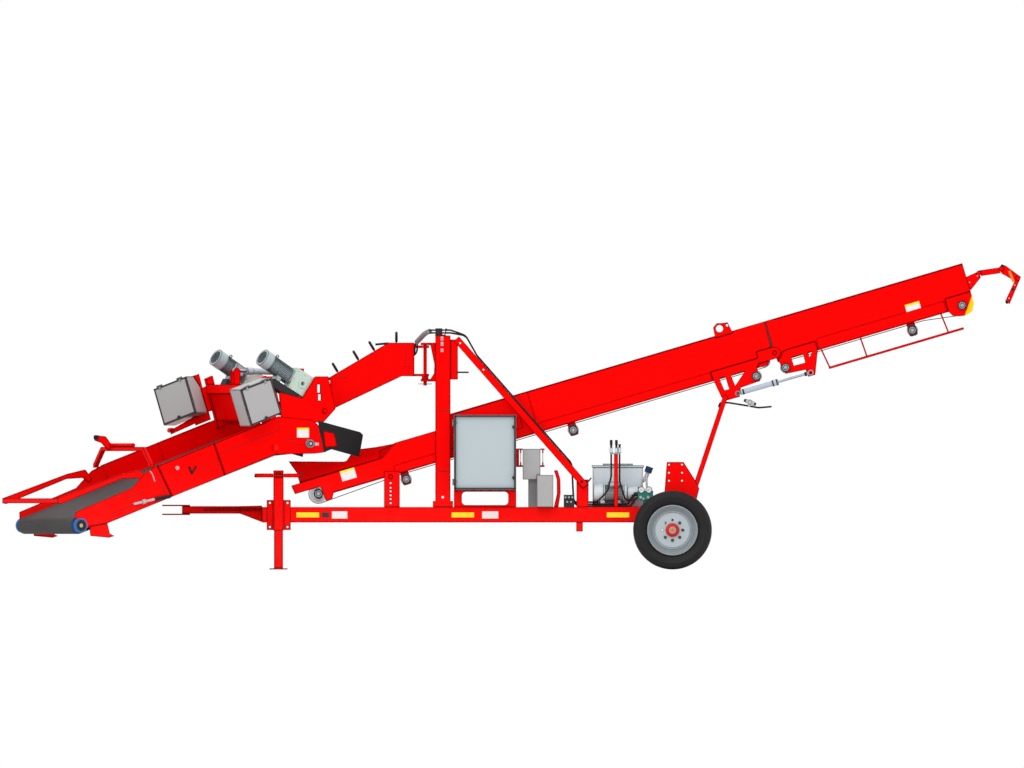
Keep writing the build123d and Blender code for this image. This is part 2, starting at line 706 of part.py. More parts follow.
head_roller_t = 4864
head_belt_path = ((head_roller_t, fold_roller_n, fold_roller_radius),
                  (6300, fold_roller_n, fold_roller_radius),
                  (head_pulley_t, head_pulley_n, pulley_radius))
with BuildPart() as head_belt:
    with BuildSketch(slope(belt_half_width)):
        for grow, how in ((belt_thickness, Mode.ADD), (0, Mode.SUBTRACT)):
            for first, last in ((0, 1), (1, 2)):
                with BuildSketch(mode=Mode.PRIVATE) as loop:
                    for t, n, r in (head_belt_path[first], head_belt_path[last]):
                        with Locations((t, n)):
                            Circle(r + grow)
                    make_hull()
                add(loop.sketch, mode=how)
    extrude(amount=2 * belt_half_width)
write("head_belt", head_belt.part)

with BuildPart() as head_rollers:
    with BuildSketch(slope(belt_half_width - 2)):
        with Locations((head_roller_t, fold_roller_n)):
            Circle(fold_roller_radius - seat)
        with Locations((head_pulley_t, head_pulley_n)):
            Circle(pulley_radius - seat)
    extrude(amount=2 * (belt_half_width - 2))
    with BuildSketch(slope(side_inner_y - seat)):
        with Locations((head_roller_t, fold_roller_n), (head_pulley_t, head_pulley_n),
                       (head_tab_t, roller_n - seat)):
            Circle(20)
    extrude(amount=2 * (side_inner_y - seat))
    with BuildSketch(slope(side_outer_y - seat)):
        with Locations((4839, roller_n - seat)):
            Circle(20)
    extrude(amount=2 * (side_outer_y - seat))
    with BuildSketch(slope(roller_half)):
        with Locations((4839, roller_n - seat), (6160, roller_n - seat)):
            Circle(roller_radius)
    extrude(amount=2 * roller_half)
write("head_rollers", head_rollers.part)

with BuildPart() as head_bearings:
    for y in (-side_outer_y - bracket_thickness, side_outer_y + bracket_thickness + bearing_depth):
        with BuildSketch(slope(y)):
            for t, n in ((head_pulley_t, head_pulley_n), (4839, roller_n)):
                with Locations((t, n)):
                    Circle(bearing_radius)
        extrude(amount=bearing_depth)
    for y in (-side_outer_y, side_outer_y + bearing_depth):
        with BuildSketch(slope(y)):
            with Locations((6160, roller_n)):
                Circle(bearing_radius)
                Rectangle(56, 118)
        extrude(amount=bearing_depth)
write("head_bearings", head_bearings.part)

# Guard pan hung under the head on straps
strap_n = side_bottom_n - seat
with BuildPart() as head_guard:
    with BuildSketch(slope(side_outer_y)):
        Polygon((5252, -239), (6659, -241), (6659, -229), (5252, -227), align=None)
    extrude(amount=2 * side_outer_y)
    for y in (-side_outer_y, side_outer_y + 8):
        with BuildSketch(slope(y)):
            for a, b in (((5232, strap_n), (5262, -230)), ((5640, strap_n), (5650, -232)),
                         ((6480, strap_n), (6500, -232))):
                Polygon((a[0] - 8, a[1]), (a[0] + 8, a[1]), (b[0] + 8, b[1]), (b[0] - 8, b[1]),
                        align=None)
        extrude(amount=8)
write("head_guard", head_guard.part)

# Jointed arm that holds the level sensor over the pile
with BuildPart() as sensor_arm:
    with BuildSketch(elevation(-side_inner_y + 20)):
        Polygon((2917, 2917), (3067, 2985), (3082, 2918), (2981, 2790), align=None)
        Polygon((3060, 2990), (3085, 2935), (3280, 2963), (3285, 3023), align=None)
        Polygon((3270, 3020), (3293, 3052), (3330, 3040), (3485, 2925), (3430, 2880),
                (3290, 2960), align=None)
        Polygon((3485, 2925), (3430, 2905), (3325, 2680), (3372, 2655), align=None)
    extrude(amount=20)
    for x, z, r, depth in ((3064, 2965, 24, 34), (3288, 3008, 26, 34), (3455, 2912, 24, 34)):
        with BuildSketch(elevation(-side_inner_y + 27)):
            with Locations((x, z)):
                Circle(r)
        extrude(amount=depth)
write("sensor_arm", sensor_arm.part)

# Fold cylinders, one at each side
barrel_y = side_outer_y + bracket_thickness + barrel_offset
cylinder_lean = climb + degrees(atan2(rod_eye_n - base_n, rod_eye_t - base_t))
base_point = on_slope(base_t, base_n)
eye_point = on_slope(rod_eye_t, rod_eye_n)


def fold_cylinder_plane(along):
    """Plane square to the cylinder at a distance from its base pin, on the near side."""
    a = radians(cylinder_lean)
    run = Vector(cos(a), 0, sin(a))
    start = Vector(base_point[0], -barrel_y, base_point[1]) + run * along
    return Plane(origin=start, x_dir=(0, 1, 0), z_dir=run)


fold_length = hypot(eye_point[0] - base_point[0], eye_point[1] - base_point[1])
barrel_length = 421
with BuildPart() as fold_barrels:
    with BuildSketch(fold_cylinder_plane(30)):
        Circle(27)
    extrude(amount=barrel_length - 30 - 62)
    with BuildSketch(fold_cylinder_plane(barrel_length - 62)):
        Circle(31)
    extrude(amount=62)
    with BuildSketch(fold_cylinder_plane(8)):
        Rectangle(36, 36)
    extrude(amount=24)
    with BuildSketch(elevation(-barrel_y + 18)):
        with Locations(base_point):
            Circle(26)
    extrude(amount=36)
    with BuildSketch(fold_cylinder_plane(60)):
        Circle(13 + pin_gap)
    extrude(amount=barrel_length - 60, mode=Mode.SUBTRACT)
    with BuildSketch(elevation(-barrel_y + 19)):
        with Locations(base_point):
            Circle(14 + pin_gap)
    extrude(amount=38, mode=Mode.SUBTRACT)
    mirror(about=Plane.XZ)
write("fold_barrels", fold_barrels.part)

rod_eye_bore = 19
with BuildPart() as fold_rods:
    with BuildSketch(fold_cylinder_plane(340)):
        Circle(13)
    extrude(amount=fold_length - 340)
    with BuildSketch(elevation(-barrel_y + 17)):
        with Locations(eye_point):
            Circle(29)
    extrude(amount=34)
    with BuildSketch(elevation(-barrel_y + 18)):
        with Locations(eye_point):
            Circle(rod_eye_bore)
    extrude(amount=36, mode=Mode.SUBTRACT)
    mirror(about=Plane.XZ)
write("fold_rods", fold_rods.part)

# Arm: a deep box that tapers down to the swivel fork
arm_outline = (
    (-2581, 2268), (-2843, 2268), (-3425, 1925), (-3425, 1590), (-3393, 1606), (-2708, 1933),
    (-2581, 1933),
)
arm_wall = 8
tip_top_z = 1893
tip_bottom_z = 1606
with BuildPart() as arm:
    with BuildSketch(elevation(arm_width / 2)):
        Polygon(*arm_outline, align=None)
    extrude(amount=arm_width)
    for z in (lower_ear_z + hinge_ear + 27, upper_ear_z - hinge_ear - 3):
        with BuildSketch(Plane.XY.offset(z)):
            with Locations(((arm_hinge_x - 2600) / 2, 0)):
                Rectangle(2600 + arm_hinge_x, 2 * ear_radius - 10)
            with Locations((arm_hinge_x, 0)):
                Circle(ear_radius - 5)
            with Locations((arm_hinge_x, 0)):
                Circle(arm_hinge_radius + pin_gap, mode=Mode.SUBTRACT)
        extrude(amount=hinge_ear)
    for z in (tip_bottom_z, tip_top_z):
        with BuildSketch(Plane.XY.offset(z)):
            with Locations(((swivel_x - 3400) / 2, 0)):
                Rectangle(-3400 - swivel_x, 100)
            with Locations((swivel_x, 0)):
                Circle(50)
        extrude(amount=28)
    with BuildSketch(Plane.XY.offset(tip_bottom_z)):
        with Locations((swivel_x, 0)):
            Circle(swivel_pin_radius)
    extrude(amount=tip_top_z - tip_bottom_z + 28)
    # the arm is a box of plate with a hand hole under it
    with BuildSketch(elevation(arm_width / 2 - arm_wall)):
        Polygon((-2589, 2260), (-2841, 2260), (-3402, 1929), (-3402, 1612), (-3391, 1617),
                (-2706, 1941), (-2589, 1941), align=None)
    extrude(amount=arm_width - 2 * arm_wall, mode=Mode.SUBTRACT)
    with Locations((-3050, 0, 1790)):
        Cylinder(34, 120, mode=Mode.SUBTRACT)
write("arm", arm.part)

# Rings on top of the arm that guide the hoses
ring_lean = degrees(atan2(2268 - 1925, 3425 - 2843))
ring_outer = 54
ring_inner = 43
ring_table = (   # x, height of the surface, lean of the surface
    (-3346, 1971.6, ring_lean), (-3139, 2093.5, ring_lean), (-2980, 2187.3, ring_lean),
    (-2761, 2268, 0),
)
with BuildPart() as arm_rings:
    for x, z, lean in ring_table:
        run = Vector(cos(radians(lean)), 0, sin(radians(lean)))
        above = Vector(-sin(radians(lean)), 0, cos(radians(lean)))
        centre = Vector(x, 0, z) + above * (ring_outer + seat) - run * 6
        with BuildSketch(Plane(origin=centre, x_dir=(0, 1, 0), z_dir=run)):
            Circle(ring_outer)
            Circle(ring_inner, mode=Mode.SUBTRACT)
        extrude(amount=12)
write("arm_rings", arm_rings.part)

# Yoke: it turns on the arm's swivel pin and carries the boom on a cross tube
yoke_half = 505
cylinder_pin_s = 190
cylinder_pin_z = 1970
with BuildPart(boom_frame) as yoke:
    with Locations((0, 0, (tip_bottom_z + 28 + tip_top_z) / 2)):
        Cylinder(40, tip_top_z - tip_bottom_z - 28 - 10)
    with Locations((110, 0, (tip_bottom_z + 28 + tip_top_z) / 2)):
        Box(160, 30, tip_top_z - tip_bottom_z - 28 - 30)
    with Locations((pivot_s, 0, pivot_z)):
        Cylinder(45, 2 * yoke_half, rotation=(90, 0, 0))
        Cylinder(pivot_pin_radius, 2 * (boom_outer_b + 10), rotation=(90, 0, 0))
    for b in (-48, 48):
        with Locations((pivot_s - 8, b, (pivot_z + cylinder_pin_z + 40) / 2)):
            Box(90, 12, cylinder_pin_z + 40 - pivot_z)
    with Locations((pivot_s - 8, 0, 1740)):
        Box(30, 90, 260)
    with Locations((cylinder_pin_s, 0, cylinder_pin_z)):
        Cylinder(14, 110, rotation=(90, 0, 0))
    with Locations((0, 0, (tip_bottom_z + tip_top_z) / 2)):
        Cylinder(swivel_pin_radius + pin_gap, 400, mode=Mode.SUBTRACT)
write("yoke", yoke.part)

# Tilt cylinder between the yoke and the boom's gate
eye_s = 917
eye_z = 1988
tilt_lean = degrees(atan2(eye_z - cylinder_pin_z, eye_s - cylinder_pin_s))
tilt_length = hypot(eye_s - cylinder_pin_s, eye_z - cylinder_pin_z)
tilt_start = boom_frame.from_local_coords(Vector(cylinder_pin_s, 0, cylinder_pin_z))
tilt_run = (boom_frame.from_local_coords(Vector(eye_s, 0, eye_z)) - tilt_start).normalized()


def tilt_plane(along):
    """Plane square to the tilt cylinder at a distance from its rear pin."""
    return Plane(origin=tilt_start + tilt_run * along, x_dir=boom_near, z_dir=tilt_run)


tilt_rod_shown = 127
tilt_barrel_length = tilt_length - tilt_rod_shown
with BuildPart() as tilt_barrel:
    with BuildSketch(tilt_plane(24)):
        Circle(31)
    extrude(amount=tilt_barrel_length - 24 - 70)
    with BuildSketch(tilt_plane(tilt_barrel_length - 70)):
        Circle(36)
    extrude(amount=70)
    with BuildSketch(boom_side(20)):
        with Locations((cylinder_pin_s, cylinder_pin_z)):
            Circle(28)
    extrude(amount=40)
    with BuildSketch(boom_side(21)):
        with Locations((cylinder_pin_s, cylinder_pin_z)):
            Circle(14 + pin_gap)
    extrude(amount=42, mode=Mode.SUBTRACT)
    with BuildSketch(tilt_plane(60)):
        Circle(16 + pin_gap)
    extrude(amount=tilt_barrel_length - 60, mode=Mode.SUBTRACT)
write("tilt_barrel", tilt_barrel.part)

with BuildPart() as tilt_rod:
    with BuildSketch(tilt_plane(tilt_barrel_length - 150)):
        Circle(16)
    extrude(amount=tilt_rod_shown + 150)
    with BuildSketch(boom_side(18)):
        with Locations((eye_s, eye_z)):
            Circle(30)
    extrude(amount=36)
    with BuildSketch(boom_side(19)):
        with Locations((eye_s, eye_z)):
            Circle(19)
    extrude(amount=38, mode=Mode.SUBTRACT)
write("tilt_rod", tilt_rod.part)

# Intake boom side plates
boom_outline = (
    (3137, 575), (2470, 815), (2290, 985), (2164, 1043), (884, 1480), (741, 1532), (345, 1498),
    (267, 1441), (187, 1173), (313, 1159), (774, 1151), (2770, 458), (2930, 418), (3090, 410),
    (3135, 470),
)
tower_outline = (
    (152, 1931), (66, 1605), (210, 1470), (700, 1470), (729, 1775), (458, 1715), (300, 1931),
)
tower_thickness = 12
skirt_thickness = 5
chute_outline = ((280, 1489), (-218, 1374), (-252, 1345), (-207, 1125), (120, 1202), (205, 1173))
chute_plate = ((220, 1388), (98, 1364), (58, 1231), (199, 1221))
skid_outline = ((2975, 430), (2960, 335), (2745, 318), (2680, 335), (2735, 358), (2765, 462))
for side_name, side in (("near", 1), ("far", -1)):
    side_b = side * boom_outer_b if side == 1 else -boom_inner_b
    with BuildPart() as boom_plate:
        with BuildSketch(boom_side(side_b)):
            Polygon(*boom_outline, align=None)
        extrude(amount=boom_side_thickness)
        flange_b = boom_outer_b + 14 if side == 1 else -boom_outer_b
        with BuildSketch(boom_side(flange_b)):
            Polygon((2164, 1043), (2164, 1037), (884, 1474), (884, 1480), align=None)
            Polygon((2164, 1043), (2172, 1037), (2001, 730), (1991, 733), align=None)
            Polygon((1500, 1268), (1508, 1264), (1380, 950), (1370, 953), align=None)
        extrude(amount=14)
        skid_b = boom_outer_b + 8 if side == 1 else -boom_outer_b
        with BuildSketch(boom_side(skid_b)):
            Polygon(*skid_outline, align=None)
        extrude(amount=8)
        # plate that clamps the chute's skirt
        clamp_b = boom_outer_b + 11 if side == 1 else -boom_outer_b - skirt_thickness - 2 * seat
        with BuildSketch(boom_side(clamp_b)):
            Polygon(*chute_plate, align=None)
        extrude(amount=11 - skirt_thickness - 2 * seat)
    write(f"boom_side_{side_name}", boom_plate.part)

with BuildPart() as chute_skirts:
    for b in (boom_outer_b + seat + skirt_thickness, -boom_outer_b - seat):
        with BuildSketch(boom_side(b)):
            Polygon(*chute_outline, align=None)
        extrude(amount=skirt_thickness)
write("chute_skirts", chute_skirts.part)

with BuildPart() as boom_towers:
    for b in (boom_inner_b - seat, -boom_inner_b + tower_thickness + seat):
        with BuildSketch(boom_side(b)):
            Polygon(*tower_outline, align=None)
            with Locations((pivot_s, pivot_z)):
                Circle(pivot_pin_radius + pin_gap, mode=Mode.SUBTRACT)
            Polygon((245, 1770), (280, 1770), (280, 1850), (245, 1850), align=None,
                    mode=Mode.SUBTRACT)
            Polygon((235, 1690), (270, 1690), (270, 1752), (235, 1752), align=None,
                    mode=Mode.SUBTRACT)
        extrude(amount=tower_thickness)
write("boom_towers", boom_towers.part)

# Belt of the boom and its rollers
boom_belt_path = ((nose_s, nose_z, nose_radius), (bend_s, bend_z, 75),
                  (boom_head_s, boom_head_z, boom_head_radius))
with BuildPart() as boom_belt:
    with BuildSketch(boom_side(boom_belt_half_width)):
        for grow, how in ((belt_thickness, Mode.ADD), (0, Mode.SUBTRACT)):
            for first, last in ((0, 1), (1, 2)):
                with BuildSketch(mode=Mode.PRIVATE) as loop:
                    for s, z, r in (boom_belt_path[first], boom_belt_path[last]):
                        with Locations((s, z)):
                            Circle(r + grow)
                    make_hull()
                add(loop.sketch, mode=how)
    extrude(amount=2 * boom_belt_half_width)
write("boom_belt", boom_belt.part)

with BuildPart() as boom_rollers:
    with BuildSketch(boom_side(boom_belt_half_width - 2)):
        for s, z, r in boom_belt_path:
            with Locations((s, z)):
                Circle(r - seat)
    extrude(amount=2 * (boom_belt_half_width - 2))
    with BuildSketch(boom_side(boom_inner_b - seat)):
        for s, z, r in boom_belt_path:
            with Locations((s, z)):
                Circle(25)
    extrude(amount=2 * (boom_inner_b - seat))
    # flange bearings outside the side plates
    for s, z, r in ((nose_s, nose_z, 73), (boom_head_s, boom_head_z, 43), (bend_s, bend_z, 30)):
        for b in (boom_outer_b + 32, -boom_outer_b - seat):
            with BuildSketch(boom_side(b)):
                with Locations((s, z)):
                    Circle(r)
            extrude(amount=32 - seat)
write("boom_rollers", boom_rollers.part)

with BuildPart() as boom_bed:
    with BuildSketch(boom_side(boom_inner_b - seat)):
        Polygon((2900, 558), (900, 1247), (900, 1241), (2900, 552), align=None)
        for s, z in ((2700, 606), (2000, 847), (1300, 1089)):
            with Locations((s, z)):
                Rectangle(50, 44)
    extrude(amount=2 * (boom_inner_b - seat))
write("boom_bed", boom_bed.part)

# Motor frame between the towers: a cross tube and a rail under each gear motor
motor_b = 440
motor_lean = 31
gearbox_lean = 28.5
gearbox_length = 216
gearbox_height = 225
gearbox_s = 454
gearbox_z = 1868
motor_fan_radius = 90
rail_drop = gearbox_height / 2 + seat
motor_rail_half = 50
with BuildPart() as motor_frame:
    with BuildSketch(boom_side(boom_inner_b - tower_thickness - 2 * seat)):
        with Locations((500, 1650)):
            Rectangle(70, 60)
    extrude(amount=2 * (boom_inner_b - tower_thickness - 2 * seat))
    for b in (motor_b, -motor_b):
        with BuildSketch(boom_side(b + motor_rail_half)):
            with Locations(Location((gearbox_s, gearbox_z, 0), (0, 0, gearbox_lean))):
                with Locations((125, -rail_drop - 40)):
                    Rectangle(330, 80)
            Polygon((470, 1675), (535, 1675), (560, 1760), (500, 1740), align=None)
        extrude(amount=2 * motor_rail_half)
write("motor_frame", motor_frame.part)

# Gear motors over the boom's head: ribbed body, fan cover, terminal box and gearbox
rib_count = 28
with BuildPart() as gear_motors:
    for b in (motor_b, -motor_b):
        start = boom_frame.from_local_coords(Vector(gearbox_s, b, gearbox_z))
        ahead = boom_frame.from_local_coords(
            Vector(gearbox_s + cos(radians(motor_lean)), b, gearbox_z + sin(radians(motor_lean))))
        run = (ahead - start).normalized()
        for along, length, radius in ((90, 45, 62), (134, 16, 88), (148, 250, 76), (395, 14, 88),
                                      (408, 87, motor_fan_radius)):
            with BuildSketch(Plane(origin=start + run * along, x_dir=boom_near, z_dir=run)):
                Circle(radius)
            extrude(amount=length)
        with BuildSketch(Plane(origin=start + run * 160, x_dir=boom_near, z_dir=run)):
            with PolarLocations(79, rib_count):
                Rectangle(14, 4)
        extrude(amount=230)
        # terminal box on top and lifting eye
        with BuildSketch(Plane(origin=start + run * 190, x_dir=boom_near, z_dir=run)):
            with Locations((-98 if b > 0 else 98, 0)):
                Rectangle(52, 96)
        extrude(amount=110)
        with BuildSketch(boom_side(b + 5)):
            with Locations(Location((gearbox_s, gearbox_z, 0), (0, 0, motor_lean))):
                with Locations((345, 100)):
                    Circle(17)
                    Circle(9, mode=Mode.SUBTRACT)
                with Locations((345, 80)):
                    Rectangle(14, 12)
        extrude(amount=10)
        # gearbox with its flange and hollow shaft
        with BuildSketch(boom_side(b + 56)):
            with Locations((gearbox_s, gearbox_z)):
                Rectangle(gearbox_length, gearbox_height, rotation=gearbox_lean)
            with Locations((439, 1859)):
                Circle(22, mode=Mode.SUBTRACT)
        extrude(amount=112)
        with BuildSketch(boom_side(b + 64)):
            with Locations((439, 1859)):
                Circle(46)
                Circle(22, mode=Mode.SUBTRACT)
        extrude(amount=128)
        with BuildSketch(boom_side(b + 62)):
            with Locations(Location((gearbox_s, gearbox_z, 0), (0, 0, gearbox_lean))):
                for x in (-88, 0, 88):
                    for y in (-92, 92):
                        with Locations((x, y)):
                            RegularPolygon(9, 6)
        extrude(amount=124)
        with BuildSketch(boom_side(b + 40)):
            with Locations(Location((gearbox_s, gearbox_z, 0), (0, 0, gearbox_lean))):
                with Locations((245, -rail_drop / 2 + seat / 2)):
                    Rectangle(60, rail_drop - seat)
        extrude(amount=80)
write("gear_motors", gear_motors.part)


def hinge_section(plane, box_side):
    """Half of a hinge in a plane square to its axis: x points out of the door, y off its edge."""
    with BuildSketch(plane) as section:
        Circle(knuckle_radius)
        if box_side:
            Polygon((-50, -9), (0, -9), (0, -6), (-50, -6), align=None)
        else:
            Polygon((-1.7, -40), (1.3, -40), (1.3, 0), (-1.7, 0), align=None)
    return section.sketch


def hinge_start(corner, out, above):
    """Point on a hinge's axis beside the door's corner, out from its face and off its edge."""
    return corner + Vector(out) * knuckle_out + Vector(above) * knuckle_above


# Door hinges: knuckles in two groups of three on each door
knuckle_radius = 7
knuckle_out = 1.5
knuckle_above = 9
knuckle_length = 22
hinge_inset = 45

# Control boxes: one on the near side of the boom and one turned to face the operator
box_wall = 3
door_depth = 14
door_gap = 2
near_box_corners = ((1327, 1799), (966, 1916), (840, 1559), (1200, 1432))
near_box_back_b = 540
near_box_front_b = 735
near_box_width = hypot(1327 - 966, 1916 - 1799)
near_box_lean = atan2(1916 - 1799, 1327 - 966)
near_box_out = Vector(*boom_near)
near_box_up = Vector(*boom_forward) * sin(near_box_lean) + Vector(0, 0, cos(near_box_lean))
near_box_along = Vector(*boom_forward) * cos(near_box_lean) - Vector(0, 0, sin(near_box_lean))
near_box_corner = boom_frame.from_local_coords(
    Vector(near_box_corners[1][0], near_box_front_b + seat + door_depth, near_box_corners[1][1]))
near_hinge = hinge_start(near_box_corner, near_box_out, near_box_up)
far_box_width = 402
far_box_height = 385
far_box_depth = 200
far_box_lean = 18.6
far_box_normal = (-sin(radians(boom_yaw)), -cos(radians(boom_yaw)), 0)
far_box_corner = Vector(-5192, -28, 1804)
far_box_across = (
    cos(radians(boom_yaw)) * cos(radians(far_box_lean)),
    -sin(radians(boom_yaw)) * cos(radians(far_box_lean)),
    sin(radians(far_box_lean)),
)


def far_box_face(depth):
    """Face plane of the far box at a depth behind its front; its origin is the top left corner."""
    return Plane(origin=far_box_corner - Vector(far_box_normal) * depth, x_dir=far_box_across,
                 z_dir=far_box_normal)


far_box_along = Vector(*far_box_across) * -1
far_hinge = hinge_start(far_box_corner + Vector(far_box_normal) * seat - far_box_along
                        * far_box_width, far_box_normal, far_box_face(0).y_dir)


def knuckle_planes(start, out, along, width, box_side):
    """Planes where the knuckles of a box or its door begin, in two groups along the edge."""
    planes = []
    for group in (hinge_inset, width - hinge_inset - 3 * knuckle_length):
        for index in ((0, 2) if box_side else (1,)):
            place = start + along * (group + index * knuckle_length + 0.5)
            planes.append(Plane(origin=place, x_dir=out, z_dir=along))
    return planes


with BuildPart() as control_boxes:
    with BuildSketch(boom_side(near_box_front_b)):
        Polygon(*near_box_corners, align=None)
    extrude(amount=near_box_front_b - near_box_back_b)
    with BuildSketch(boom_side(near_box_front_b)):
        with BuildSketch(mode=Mode.PRIVATE) as near_box_face:
            Polygon(*near_box_corners, align=None)
        offset(near_box_face.sketch, amount=-box_wall)
    extrude(amount=near_box_front_b - near_box_back_b - box_wall, mode=Mode.SUBTRACT)
    # mounting plate back to the gate post
    with BuildSketch(boom_side(near_box_back_b)):
        Polygon((862, 1590), (960, 1575), (1045, 1830), (950, 1850), align=None)
    extrude(amount=near_box_back_b - boom_inner_b)
    with BuildSketch(far_box_face(far_box_depth + door_depth)):
        with Locations((far_box_width / 2, -far_box_height / 2)):
            Rectangle(far_box_width, far_box_height)
    extrude(amount=far_box_depth)
    with BuildSketch(far_box_face(far_box_depth + door_depth - box_wall)):
        with Locations((far_box_width / 2, -far_box_height / 2)):
            Rectangle(far_box_width - 2 * box_wall, far_box_height - 2 * box_wall)
    extrude(amount=far_box_depth, mode=Mode.SUBTRACT)
    for place in knuckle_planes(near_hinge, near_box_out, near_box_along, near_box_width, True):
        extrude(hinge_section(place, True), amount=knuckle_length - 1)
    for place in knuckle_planes(far_hinge, Vector(*far_box_normal), far_box_along, far_box_width,
                                True):
        extrude(hinge_section(place, True), amount=knuckle_length - 1)
write("control_boxes", control_boxes.part)

with BuildPart() as near_box_door:
    with BuildSketch(boom_side(near_box_front_b + seat + door_depth)):
        with BuildSketch(mode=Mode.PRIVATE) as near_door_face:
            Polygon(*near_box_corners, align=None)
        offset(near_door_face.sketch, amount=-door_gap)
    extrude(amount=door_depth)
    for place in knuckle_planes(near_hinge, near_box_out, near_box_along, near_box_width, False):
        extrude(hinge_section(place, False), amount=knuckle_length - 1)
write("near_box_door", near_box_door.part)

with BuildPart() as far_box_door:
    with BuildSketch(far_box_face(door_depth - seat)):
        with Locations((far_box_width / 2, -far_box_height / 2)):
            Rectangle(far_box_width - 2 * door_gap, far_box_height - 2 * door_gap)
    extrude(amount=door_depth)
    for place in knuckle_planes(far_hinge, Vector(*far_box_normal), far_box_along, far_box_width,
                                False):
        extrude(hinge_section(place, False), amount=knuckle_length - 1)
write("far_box_door", far_box_door.part)

# Gate across the boom: posts, wall, beam and the ears of the tilt cylinder
with BuildPart() as boom_gate:
    for b in (boom_inner_b - seat, -boom_inner_b + 40 + seat):
        with BuildSketch(boom_side(b)):
            Polygon((740, 1440), (820, 1415), (964, 1906), (884, 1937), align=None)
        extrude(amount=40)
    with BuildSketch(boom_side(boom_inner_b - 30)):
        Polygon((823, 1490), (835, 1490), (916, 1760), (904, 1760), align=None)
        Polygon((880, 1758), (950, 1758), (950, 1850), (880, 1850), align=None)
    extrude(amount=2 * (boom_inner_b - 30))
    for b in (37, -25):
        with BuildSketch(boom_side(b)):
            Polygon((890, 1848), (960, 1848), (958, 1990), (917, 2020), (880, 1990), align=None)
        extrude(amount=12)
    with BuildSketch(boom_side(37)):
        with Locations((eye_s, eye_z)):
            Circle(8)
    extrude(amount=74)
    # leaning plate that carries the far control box
    with BuildSketch(boom_side(-boom_inner_b - 17)):
        Polygon((870, 1500), (1010, 1955), (1190, 1905), (1045, 1440), align=None)
        Polygon((1030, 1545), (1000, 1480), (1335, 1352), (1350, 1388), align=None)
    extrude(amount=12)
    with BuildSketch(boom_side(-boom_inner_b + 23)):
        with Locations((1350, 1392)):
            Circle(24)
            Circle(17, mode=Mode.SUBTRACT)
    extrude(amount=60)
    with BuildSketch(boom_side(-boom_inner_b + 14)):
        Polygon((862, 1590), (930, 1575), (1000, 1800), (945, 1830), align=None)
    extrude(amount=32)
    with BuildSketch(far_box_face(far_box_depth + door_depth + seat)):
        with Locations((far_box_width / 2, -far_box_height / 2)):
            Rectangle(far_box_width + 2 * seat, far_box_height + 2 * seat)
    extrude(amount=far_box_depth + door_depth + 60, mode=Mode.SUBTRACT)
write("boom_gate", boom_gate.part)

# Guard hoop in front of the nose and the arch behind it
hoop_outline = (
    (3343, 712), (3343, 662), (3300, 655), (2590, 905), (2400, 915), (2320, 870), (2290, 915),
    (2370, 1000), (2583, 956),
)
hoop_outer_b = boom_inner_b - 2
arch_s = 2240
arch_tube = 42
with BuildPart() as boom_guard:
    for b in (hoop_outer_b, -hoop_outer_b + 10):
        with BuildSketch(boom_side(b)):
            Polygon(*hoop_outline, align=None)
        extrude(amount=10)
    with BuildSketch(boom_side(hoop_outer_b)):
        Polygon((3343, 712), (3343, 662), (3300, 662), (3300, 712), align=None)
    extrude(amount=2 * hoop_outer_b)
    for b in (boom_inner_b - seat, -hoop_outer_b):
        with BuildSketch(boom_side(b)):
            with Locations((2335, 905)):
                Circle(14)
        extrude(amount=2 - seat)
    arch_back = boom_frame.from_local_coords(Vector(arch_s - arch_tube / 2, 0, 0))
    with BuildSketch(Plane(origin=arch_back, x_dir=boom_near, z_dir=boom_forward)):
        Polygon((-540, 1018), (-540, 1055), (-395, 1226), (395, 1226), (540, 1055), (540, 1018),
                (498, 1018), (498, 1041), (376, 1184), (-376, 1184), (-498, 1041), (-498, 1018),
                align=None)
    extrude(amount=arch_tube)
    with BuildSketch(boom_side(190)):
        with Locations((arch_s, 1243)):
            Circle(20)
    extrude(amount=420)
    with BuildSketch(boom_side(-218)):
        Polygon((2215, 1215), (2310, 1330), (2430, 1345), (2440, 1290), (2360, 1265), (2280, 1190),
                align=None)
    extrude(amount=12)
write("boom_guard", boom_guard.part)

# Main cabinet on its stand, with a door on its outer face
cabinet_left_x = -2186
cabinet_right_x = -1563
cabinet_bottom_z = 796
cabinet_top_z = 1546
cabinet_back_y = -rail_outer_y + 74
cabinet_front_y = cabinet_back_y - 234
cabinet_middle_x = (cabinet_left_x + cabinet_right_x) / 2
cabinet_width = cabinet_right_x - cabinet_left_x
cabinet_height = cabinet_top_z - cabinet_bottom_z
cabinet_door_depth = 18
cabinet_hinge = hinge_start(Vector(cabinet_left_x, cabinet_front_y - seat - cabinet_door_depth,
                                   cabinet_top_z), (0, -1, 0), (-1, 0, 0))
with BuildPart() as cabinet:
    with BuildSketch(elevation(cabinet_back_y)):
        with Locations((cabinet_middle_x, (cabinet_top_z + cabinet_bottom_z) / 2)):
            Rectangle(cabinet_width, cabinet_height)
    extrude(amount=cabinet_back_y - cabinet_front_y)
    with BuildSketch(elevation(cabinet_back_y - box_wall)):
        with Locations((cabinet_middle_x, (cabinet_top_z + cabinet_bottom_z) / 2)):
            Rectangle(cabinet_width - 2 * box_wall, cabinet_height - 2 * box_wall)
    extrude(amount=cabinet_back_y - cabinet_front_y, mode=Mode.SUBTRACT)
    with BuildSketch(elevation(cabinet_front_y + 25)):
        with Locations((cabinet_middle_x, (cabinet_top_z + cabinet_bottom_z) / 2)):
            Rectangle(cabinet_width, cabinet_height)
            Rectangle(cabinet_width - 52, cabinet_height - 40, mode=Mode.SUBTRACT)
    extrude(amount=25)
    for place in knuckle_planes(cabinet_hinge, Vector(0, -1, 0), Vector(0, 0, -1), cabinet_height,
                                True):
        extrude(hinge_section(place, True), amount=knuckle_length - 1)
